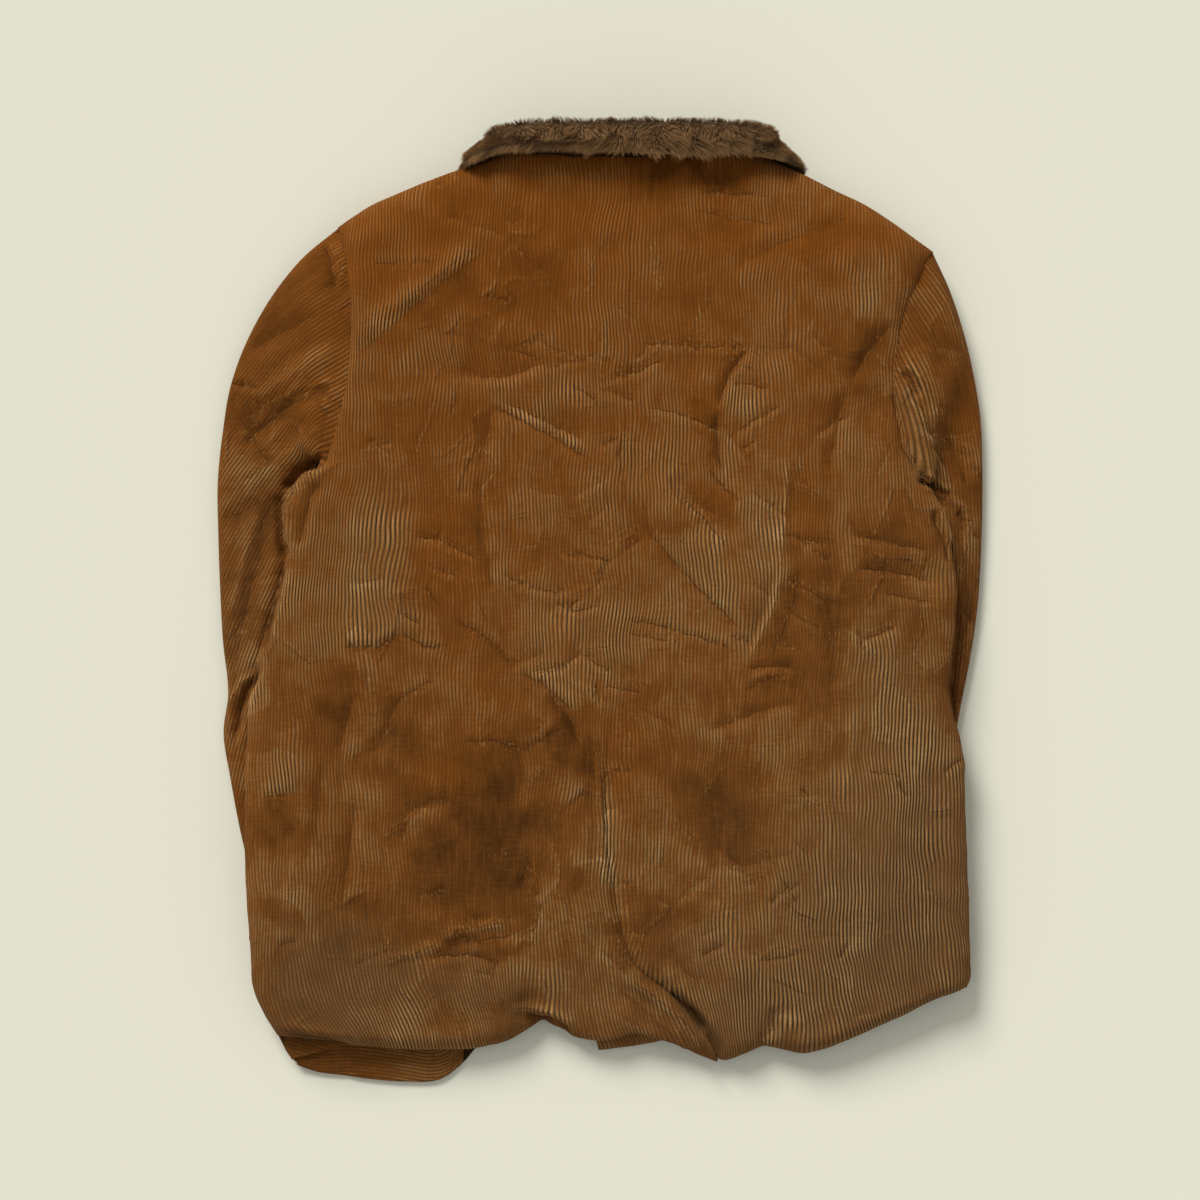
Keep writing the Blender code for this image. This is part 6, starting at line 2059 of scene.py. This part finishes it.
    def tips(self, rng: np.random.Generator, roots: Roots) -> Array:
        """Leans each tuft over on its own.

        Args:
            rng: the random numbers.
            roots: the tufts' roots.

        Returns:
            The tips' points.
        """
        root, side, fall, normal, depth, edge, rim, level = roots
        count = self.tufts
        place = root[:, 0] + 0.5 * root[:, 2], root[:, 1] + 0.7 * root[:, 2]
        rise = (depth * (1 - self.base_share) + self.rooted) * (0.92 + 0.12 * SoftNoise(0.016, 51).at(*place))
        rise = rise * rng.uniform(*self.heights, count) * (1 - self.edge_fall * edge)
        end = soft_rise(np.abs(root[:, 0] - NECK_CENTRE_X), self.end_zone)
        rise = rise * (1 + self.end_rise * end)
        swing = self.lean_swing * SoftNoise(0.022, 52).at(*place)
        lean = (self.lean + swing + self.edge_lean * edge) * (1 - 0.3 * end)
        lean = lean + rng.normal(0, self.stray, count)
        sideways = self.sway * SoftNoise(0.022, 53).at(*place) + rng.normal(0, self.stray, count)
        rise = np.where(rim, rise * 0.5 * level, rise)
        lean = np.where(rim, self.rim_length, lean)
        tip = root + rise[:, None] * normal + lean[:, None] * fall + sideways[:, None] * side
        hang = self.hang * np.where(rim, rng.uniform(0.5, 1, count), 0.8 * edge)
        hang = hang * soft_rise(-root[:, 0], self.hang_zone)
        return tip - hang[:, None] * np.array([0.0, 1.0, 0.25])

    def make_tufts(self, pile: Finish) -> Piece:
        """Makes the tufts, drawn together in small clumps, as one object.

        Args:
            pile: their finish.

        Returns:
            The new object.
        """
        rng = np.random.default_rng(self.seed)
        count = self.tufts
        roots = self.roots(rng)
        tip = self.tips(rng, roots)
        root, side, fall = roots.point, roots.side, roots.fall
        centres = rng.choice(count, self.clumps, replace=False)
        tree = KDTree(self.clumps)
        for number, centre in enumerate(centres):
            tree.insert(root[centre], number)
        tree.balance()
        nearest = np.array([tree.find(point)[1] for point in root])
        drawn = rng.uniform(*self.drawn, self.clumps)[nearest][:, None]
        tip = tip + drawn * (tip[centres][nearest] - tip) * np.array([1.0, 1.0, 0.6])
        radius = rng.uniform(*self.radii, count)[:, None]
        spin = rng.uniform(0, 2 * math.pi, count)
        corners = []
        for corner in range(3):
            angle = (spin + corner * 2 * math.pi / 3)[:, None]
            corners.append(root + radius * (np.cos(angle) * side + np.sin(angle) * fall))
        points = np.stack([*corners, tip], axis=1)
        points[..., 2] = np.maximum(points[..., 2], self.clearance)
        pattern = np.array([(0, 1, 3), (1, 2, 3), (2, 0, 3), (0, 2, 1)])
        faces = (np.arange(count)[:, None, None] * 4 + pattern[None]).reshape(-1, 3)
        mesh = bpy.data.meshes.new("collar_tufts")
        mesh.from_pydata((points.reshape(-1, 3) + FRAME_SHIFT).tolist(), [], faces.tolist())
        turn_outwards(mesh)
        shades = rng.normal(0, self.tint_swing, self.clumps)[nearest]
        tint = np.clip(0.5 + shades + rng.normal(0, self.tint_swing, count), 0, 1)
        set_values(mesh, "tint", np.repeat(tint, 4))
        set_values(mesh, "tip", np.tile([0.0, 0.0, 0.0, 1.0], count))
        mesh.materials.append(pile)
        piece = placed(mesh)
        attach(piece, "root")
        LOG.info("collar_tufts: %d faces", len(mesh.polygons))
        return piece


Socket = bpy.types.NodeSocket
Input = float | Socket
Tint = Socket | Sequence[float]
INPUTS = {
    "colour": "Base Color", "roughness": "Roughness", "specular": "Specular IOR Level", "normal": "Normal",
    "sheen": "Sheen Weight", "sheen_roughness": "Sheen Roughness", "sheen_tint": "Sheen Tint",
}


@dataclass
class Graph:
    """A material's node graph, with a method for each kind of node that it needs."""

    name: str
    material: Finish = field(init=False)

    def __post_init__(self) -> None:
        """Makes the material with its shader alone."""
        self.material = bpy.data.materials.new(self.name)
        self.material.use_nodes = True

    @property
    def shader(self) -> bpy.types.Node:
        """The material's shader."""
        return self.material.node_tree.nodes["Principled BSDF"]

    def node(self, kind: str) -> bpy.types.Node:
        """A new node of this kind."""
        return self.material.node_tree.nodes.new(kind)

    def link(self, start: Input, end: Socket) -> None:
        """Joins a socket to another, or sets a number on it."""
        if isinstance(start, (int, float)):
            end.default_value = start
        else:
            self.material.node_tree.links.new(start, end)

    def dress(self, **inputs: Input | Sequence[float]) -> None:
        """Sets or joins the shader's inputs.

        Args:
            inputs: each input's value, colour or socket, by a key of INPUTS.
        """
        for key, value in inputs.items():
            socket = self.shader.inputs[INPUTS[key]]
            if isinstance(value, tuple):
                socket.default_value = (*value, 1.0)
            else:
                self.link(value, socket)

    def math(self, operation: str, a: Input, b: Input = 0.0, clamp: bool = False) -> Socket:
        """A sum or another operation on two numbers.

        Args:
            operation: its name.
            a: the first number.
            b: the second number.
            clamp: True to keep the result between 0 and 1.

        Returns:
            The result.
        """
        node = self.node("ShaderNodeMath")
        node.operation = operation
        node.use_clamp = clamp
        self.link(a, node.inputs[0])
        self.link(b, node.inputs[1])
        return node.outputs[0]

    def times(self, a: Input, b: Input, clamp: bool = False) -> Socket:
        """The product of two numbers."""
        return self.math("MULTIPLY", a, b, clamp)

    def plus(self, a: Input, b: Input, clamp: bool = False) -> Socket:
        """The sum of two numbers."""
        return self.math("ADD", a, b, clamp)

    def minus(self, a: Input, b: Input) -> Socket:
        """The first number less the second."""
        return self.math("SUBTRACT", a, b)

    def power(self, a: Input, b: Input) -> Socket:
        """The first number to the power of the second."""
        return self.math("POWER", a, b)

    def attribute(self, name: str) -> Socket:
        """A point attribute's value."""
        node = self.node("ShaderNodeAttribute")
        node.attribute_name = name
        return node.outputs["Fac"]

    def combine(self, x: Input, y: Input, z: Input = 0.0) -> Socket:
        """A vector from three numbers."""
        node = self.node("ShaderNodeCombineXYZ")
        for value, socket in zip((x, y, z), node.inputs):
            self.link(value, socket)
        return node.outputs[0]

    def noise(self, vector: Socket, scale: float, detail: float = 2.0, roughness: float = 0.5) -> Socket:
        """Noise from -0.5 to 0.5.

        Args:
            vector: the place.
            scale: how many ups and downs there are in a metre.
            detail: how many finer layers it has.
            roughness: how strong they are.

        Returns:
            The noise.
        """
        node = self.node("ShaderNodeTexNoise")
        self.link(vector, node.inputs["Vector"])
        node.inputs["Scale"].default_value = scale
        node.inputs["Detail"].default_value = detail
        node.inputs["Roughness"].default_value = roughness
        return self.minus(node.outputs["Fac"], 0.5)

    def ramp(self, value: Socket, stops: Sequence[tuple[float, Colour]]) -> Socket:
        """A colour for each value.

        Args:
            value: the place in the ramp, from 0 to 1.
            stops: the ramp's places and their colours.

        Returns:
            The colour.
        """
        node = self.node("ShaderNodeValToRGB")
        elements = node.color_ramp.elements
        while len(elements) < len(stops):
            elements.new(0.5)
        for element, (place, colour) in zip(elements, stops):
            element.position = place
            element.color = (*colour, 1.0)
        self.link(value, node.inputs["Fac"])
        return node.outputs["Color"]

    def mix(self, share: Input, a: Tint, b: Tint, kind: str = "MIX") -> Socket:
        """A mix of two colours.

        Args:
            share: the second colour's share.
            a: the first colour.
            b: the second colour.
            kind: how they are mixed.

        Returns:
            The mixed colour.
        """
        node = self.node("ShaderNodeMix")
        node.data_type = "RGBA"
        node.blend_type = kind
        self.link(share, node.inputs[0])
        for value, socket in ((a, node.inputs[6]), (b, node.inputs[7])):
            if isinstance(value, bpy.types.NodeSocket):
                self.link(value, socket)
            else:
                socket.default_value = (*value, 1.0)
        return node.outputs[2]

    def bump(self, height: Socket, distance: float, strength: float = 1.0) -> Socket:
        """A normal that follows a height.

        Args:
            height: the height, where 1 stands for distance.
            distance: the height's scale in metres.
            strength: how much of it shows.

        Returns:
            The normal.
        """
        node = self.node("ShaderNodeBump")
        node.inputs["Distance"].default_value = distance
        node.inputs["Strength"].default_value = strength
        self.link(height, node.inputs["Height"])
        return node.outputs["Normal"]


@dataclass(frozen=True)
class Corduroy:
    """Wide-wale cotton corduroy, brushed lighter and worn along its creases, with painted shade in its
    grooves, crease lines and troughs, and painted highlights along its worn ridges.

    Each noise is given by its scale, detail and roughness, and noise_light holds what the blotches, the
    streaks, the crush and the fibres add to the nap's lightness.
    """

    name: str = "corduroy"
    wobble: float = 0.0014
    ridge_power: float = 0.7
    nap_light: float = 0.34
    streaks: tuple[float, ...] = (38.0, 2.0, 0.6)
    crush: tuple[float, ...] = (75.0, 3.0, 0.6)
    fibres: tuple[float, ...] = (1300.0, 1.0)
    blotches: tuple[float, ...] = (34.0, 3.0, 0.6)
    noise_light: tuple[float, ...] = (0.24, 0.40, 0.30, 0.30)
    stops: tuple[float, ...] = (0.0, 0.40, 0.68, 1.0)
    wear_light: float = 0.06
    dip_painted_shade: float = 0.10
    middle_light: float = 0.46
    grey_share: float = 0.75
    orange_share: float = 0.60
    shade_slope: float = 1.22
    shade_base: float = 0.50
    line_fray: float = 1.6
    line_width: float = 0.60
    line_shade_share: float = 0.65
    line_depth: float = 0.8
    lip_place: float = 1.4
    lip_width: float = 0.80
    glint_share: float = 0.50
    rib_height: float = 1.5
    fibre_height: float = 0.45
    groove_power: float = 1.55
    groove_light: float = 1.40
    groove_grey: float = 0.26
    dark: Colour = (0.098, 0.035, 0.004)
    mid: Colour = (0.186, 0.065, 0.011)
    tan: Colour = (0.288, 0.146, 0.047)
    pale: Colour = (0.420, 0.255, 0.110)
    grey: Colour = (0.216, 0.130, 0.055)
    orange: Colour = (0.255, 0.068, 0.002)
    # glint: golden dashes on worn ridges and along the lit side of each crease line, partly wear, partly a
    # painted highlight.
    glint: Colour = (0.390, 0.210, 0.060)
    # line: the near-black of the crease lines, painted shade in the creases.
    line: Colour = (0.045, 0.014, 0.003)
    # inside: near-black, painted shade for the cloth's inner faces and the whole undercollar.
    inside: Colour = (0.030, 0.013, 0.005)
    roughness: float = 0.95
    specular: float = 0.10
    sheen: float = 0.06
    sheen_roughness: float = 0.5
    sheen_tint: Colour = (0.90, 0.62, 0.30)

    def build(self) -> Finish:
        """Makes the material.

        Returns:
            The new material.
        """
        graph = Graph(self.name)
        uv = graph.node("ShaderNodeUVMap")
        uv.uv_map = "wales"
        split = graph.node("ShaderNodeSeparateXYZ")
        graph.link(uv.outputs["UV"], split.inputs[0])
        across, along = split.outputs[0], split.outputs[1]
        place = graph.node("ShaderNodeTexCoord").outputs["Object"]
        wobble = graph.times(graph.noise(place, 45.0), self.wobble)
        phase = graph.times(graph.plus(across, wobble), 2 * math.pi / WALE_PITCH)
        rib = graph.math("MULTIPLY_ADD", graph.math("COSINE", phase), -0.5)
        rib.node.inputs[2].default_value = 0.5
        ridge = graph.power(rib, self.ridge_power)
        streaks = graph.noise(graph.combine(graph.times(across, 8.0), along), *self.streaks)
        crush = graph.noise(graph.combine(across, graph.times(along, 6.0)), *self.crush)
        fibres = graph.noise(place, *self.fibres)
        blotches = graph.noise(place, *self.blotches)
        wear = graph.attribute("wear")
        light = graph.times(graph.attribute("light"), self.nap_light)
        for value, share in zip((blotches, streaks, crush, fibres), self.noise_light):
            light = graph.plus(light, graph.times(value, share))
        # Wear lightens rubbed ridges and creases: partly real wear, partly a painted highlight on the folds'
        # tops.
        light = graph.plus(light, graph.times(wear, self.wear_light))
        # Troughs and creases darker by how deep they are: painted shade.
        light = graph.minus(light, graph.times(graph.attribute("dip"), self.dip_painted_shade))
        light = graph.plus(light, self.middle_light, clamp=True)
        colour = graph.ramp(light, tuple(zip(self.stops, (self.dark, self.mid, self.tan, self.pale))))
        warm = graph.attribute("warm")
        greyer = graph.times(graph.times(warm, -1.0, clamp=True), self.grey_share)
        colour = graph.mix(greyer, colour, self.grey)
        warmer = graph.times(graph.times(warm, 1.0, clamp=True), self.orange_share)
        colour = graph.mix(warmer, colour, self.orange)
        # Grooves darker than ridges, the more so where the nap is light: painted shade between the wales.
        crisp = graph.plus(light, graph.times(greyer, self.groove_grey))
        depth = graph.power(graph.times(crisp, self.groove_light, clamp=True), self.groove_power)
        shade = graph.minus(1.0, graph.times(graph.minus(1.0, ridge), depth))
        grain = graph.plus(graph.times(light, self.shade_slope), self.shade_base)
        shade = graph.times(shade, grain)
        colour = graph.mix(1.0, colour, graph.combine(shade, shade, shade), "MULTIPLY")
        gap = graph.plus(graph.attribute("gap"), graph.times(graph.noise(place, 380.0, 1.0), self.line_fray))
        line = graph.attribute("line")
        # A near-black line along each sharp crease, with a lip beside it: painted shade in the crease.
        trench = graph.times(self.bell(graph, gap, 0.0, self.line_width), line, clamp=True)
        lip = graph.times(self.bell(graph, gap, self.lip_place, self.lip_width), line, clamp=True)
        colour = graph.mix(graph.times(trench, self.line_shade_share), colour, self.line)
        # Golden dashes on the wales' ridges where the cloth is worn and on the lip beside each crease line:
        # partly wear, partly a painted highlight.
        dashes = graph.noise(graph.combine(graph.times(across, 2.2), along), 230.0, 1.0)
        dashes = graph.times(graph.minus(dashes, 0.03), 8.0, clamp=True)
        dashes = graph.times(graph.times(dashes, graph.plus(wear, lip)), ridge, clamp=True)
        colour = graph.mix(graph.times(dashes, self.glint_share), colour, self.glint)
        colour = graph.mix(graph.attribute("inside"), colour, self.inside)
        graph.dress(colour=colour, roughness=self.roughness, specular=self.specular)
        graph.dress(sheen=self.sheen, sheen_roughness=self.sheen_roughness, sheen_tint=self.sheen_tint)
        full = graph.times(ridge, graph.times(depth, self.rib_height))
        height = graph.plus(full, graph.times(fibres, self.fibre_height))
        height = graph.minus(height, graph.times(trench, self.line_depth))
        graph.dress(normal=graph.bump(height, WALE_RELIEF))
        return graph.material

    @staticmethod
    def bell(graph: Graph, value: Socket, middle: float, width: float) -> Socket:
        """A bell-shaped curve of a value about its middle."""
        place = graph.math("DIVIDE", graph.minus(value, middle), width)
        return graph.math("EXPONENT", graph.times(graph.times(place, place), -1.0))


@dataclass(frozen=True)
class Pile:
    """A brown sherpa-like pile, darker at its roots: painted shade deep in the pile."""

    name: str = "pile"
    root: Colour = (0.062, 0.032, 0.013)
    dark: Colour = (0.230, 0.118, 0.042)
    light: Colour = (0.370, 0.205, 0.085)
    speckle: float = 0.5
    root_shade_power: float = 0.7
    roughness: float = 0.95
    specular: float = 0.10
    sheen: float = 0.20
    sheen_tint: Colour = (0.85, 0.68, 0.45)

    def build(self) -> Finish:
        """Makes the material.

        Returns:
            The new material.
        """
        graph = Graph(self.name)
        place = graph.node("ShaderNodeTexCoord").outputs["Object"]
        speckle = graph.times(graph.noise(place, 700.0), self.speckle)
        tint = graph.plus(graph.attribute("tint"), speckle, clamp=True)
        colour = graph.ramp(tint, ((0.0, self.dark), (1.0, self.light)))
        # The tufts darken towards their roots: painted shade inside the pile.
        tip = graph.power(graph.attribute("tip"), self.root_shade_power)
        colour = graph.mix(tip, self.root, colour)
        graph.dress(colour=colour, roughness=self.roughness, specular=self.specular)
        graph.dress(sheen=self.sheen, sheen_tint=self.sheen_tint)
        return graph.material


@dataclass(frozen=True)
class PaleSurface:
    """The plain matt surface that the jacket lies on."""

    name: str = "surface"
    colour: Colour = (0.80, 0.79, 0.66)
    roughness: float = 1.0
    specular: float = 0.0

    def build(self) -> Finish:
        """Makes the material.

        Returns:
            The new material.
        """
        graph = Graph(self.name)
        graph.dress(colour=self.colour, roughness=self.roughness, specular=self.specular)
        return graph.material


@dataclass(frozen=True)
class Studio:
    """The surface, the lights and the camera."""

    floor_size: float = 14.0
    world: Colour = (1.0, 1.0, 0.99)
    world_strength: float = 0.47
    key_angle: float = 25.0
    key_energy: float = 2.80
    key_from: Colour = (-0.50, 0.96, 0.74)
    distance: float = 2.8
    lens: float = 97.7
    aim: Colour = (0.0, 0.003, 0.035)

    def floor(self) -> Piece:
        """Makes the surface.

        Returns:
            The new object.
        """
        bpy.ops.mesh.primitive_plane_add(size=self.floor_size, location=(0, 0, 0))
        floor = bpy.context.active_object
        floor.name = floor.data.name = "floor"
        floor.data.materials.append(PaleSurface().build())
        return floor

    def lights(self) -> None:
        """Makes a soft key light from the upper left and an even surrounding light."""
        light = bpy.data.lights.new("key", "SUN")
        light.angle = math.radians(self.key_angle)
        light.energy = self.key_energy
        light.color = (1.0, 0.985, 0.96)
        key = bpy.data.objects.new("key", light)
        key.rotation_euler = (-Vector(self.key_from)).to_track_quat("-Z", "Y").to_euler()
        bpy.context.scene.collection.objects.link(key)
        world = bpy.data.worlds.new("studio")
        world.use_nodes = True
        background = world.node_tree.nodes["Background"]
        background.inputs["Color"].default_value = (*self.world, 1.0)
        background.inputs["Strength"].default_value = self.world_strength
        bpy.context.scene.world = world

    def camera(self) -> None:
        """Makes the camera, straight above the jacket."""
        data = bpy.data.cameras.new("camera")
        data.lens = self.lens
        data.sensor_width = 36.0
        camera = bpy.data.objects.new("camera", data)
        camera.location = (self.aim[0], self.aim[1], self.aim[2] + self.distance)
        bpy.context.scene.collection.objects.link(camera)
        bpy.context.scene.camera = camera

    def build(self) -> None:
        """Makes the whole studio."""
        self.floor()
        self.lights()
        self.camera()
        bpy.context.scene.view_settings.view_transform = "Standard"


def main() -> None:
    """Builds the jacket piece by piece, then the studio."""
    logging.basicConfig(level=logging.INFO, format="%(message)s")
    Studio().build()
    cloth = Corduroy().build()
    for side in Side:
        BodyHalf(side).build(cloth)
    facing = HemFacing()
    facing.band(cloth)
    facing.corner(cloth)
    collar = Collar()
    collar.under(cloth)
    collar.pile(Pile().build())


if __name__ == "__main__":
    main()
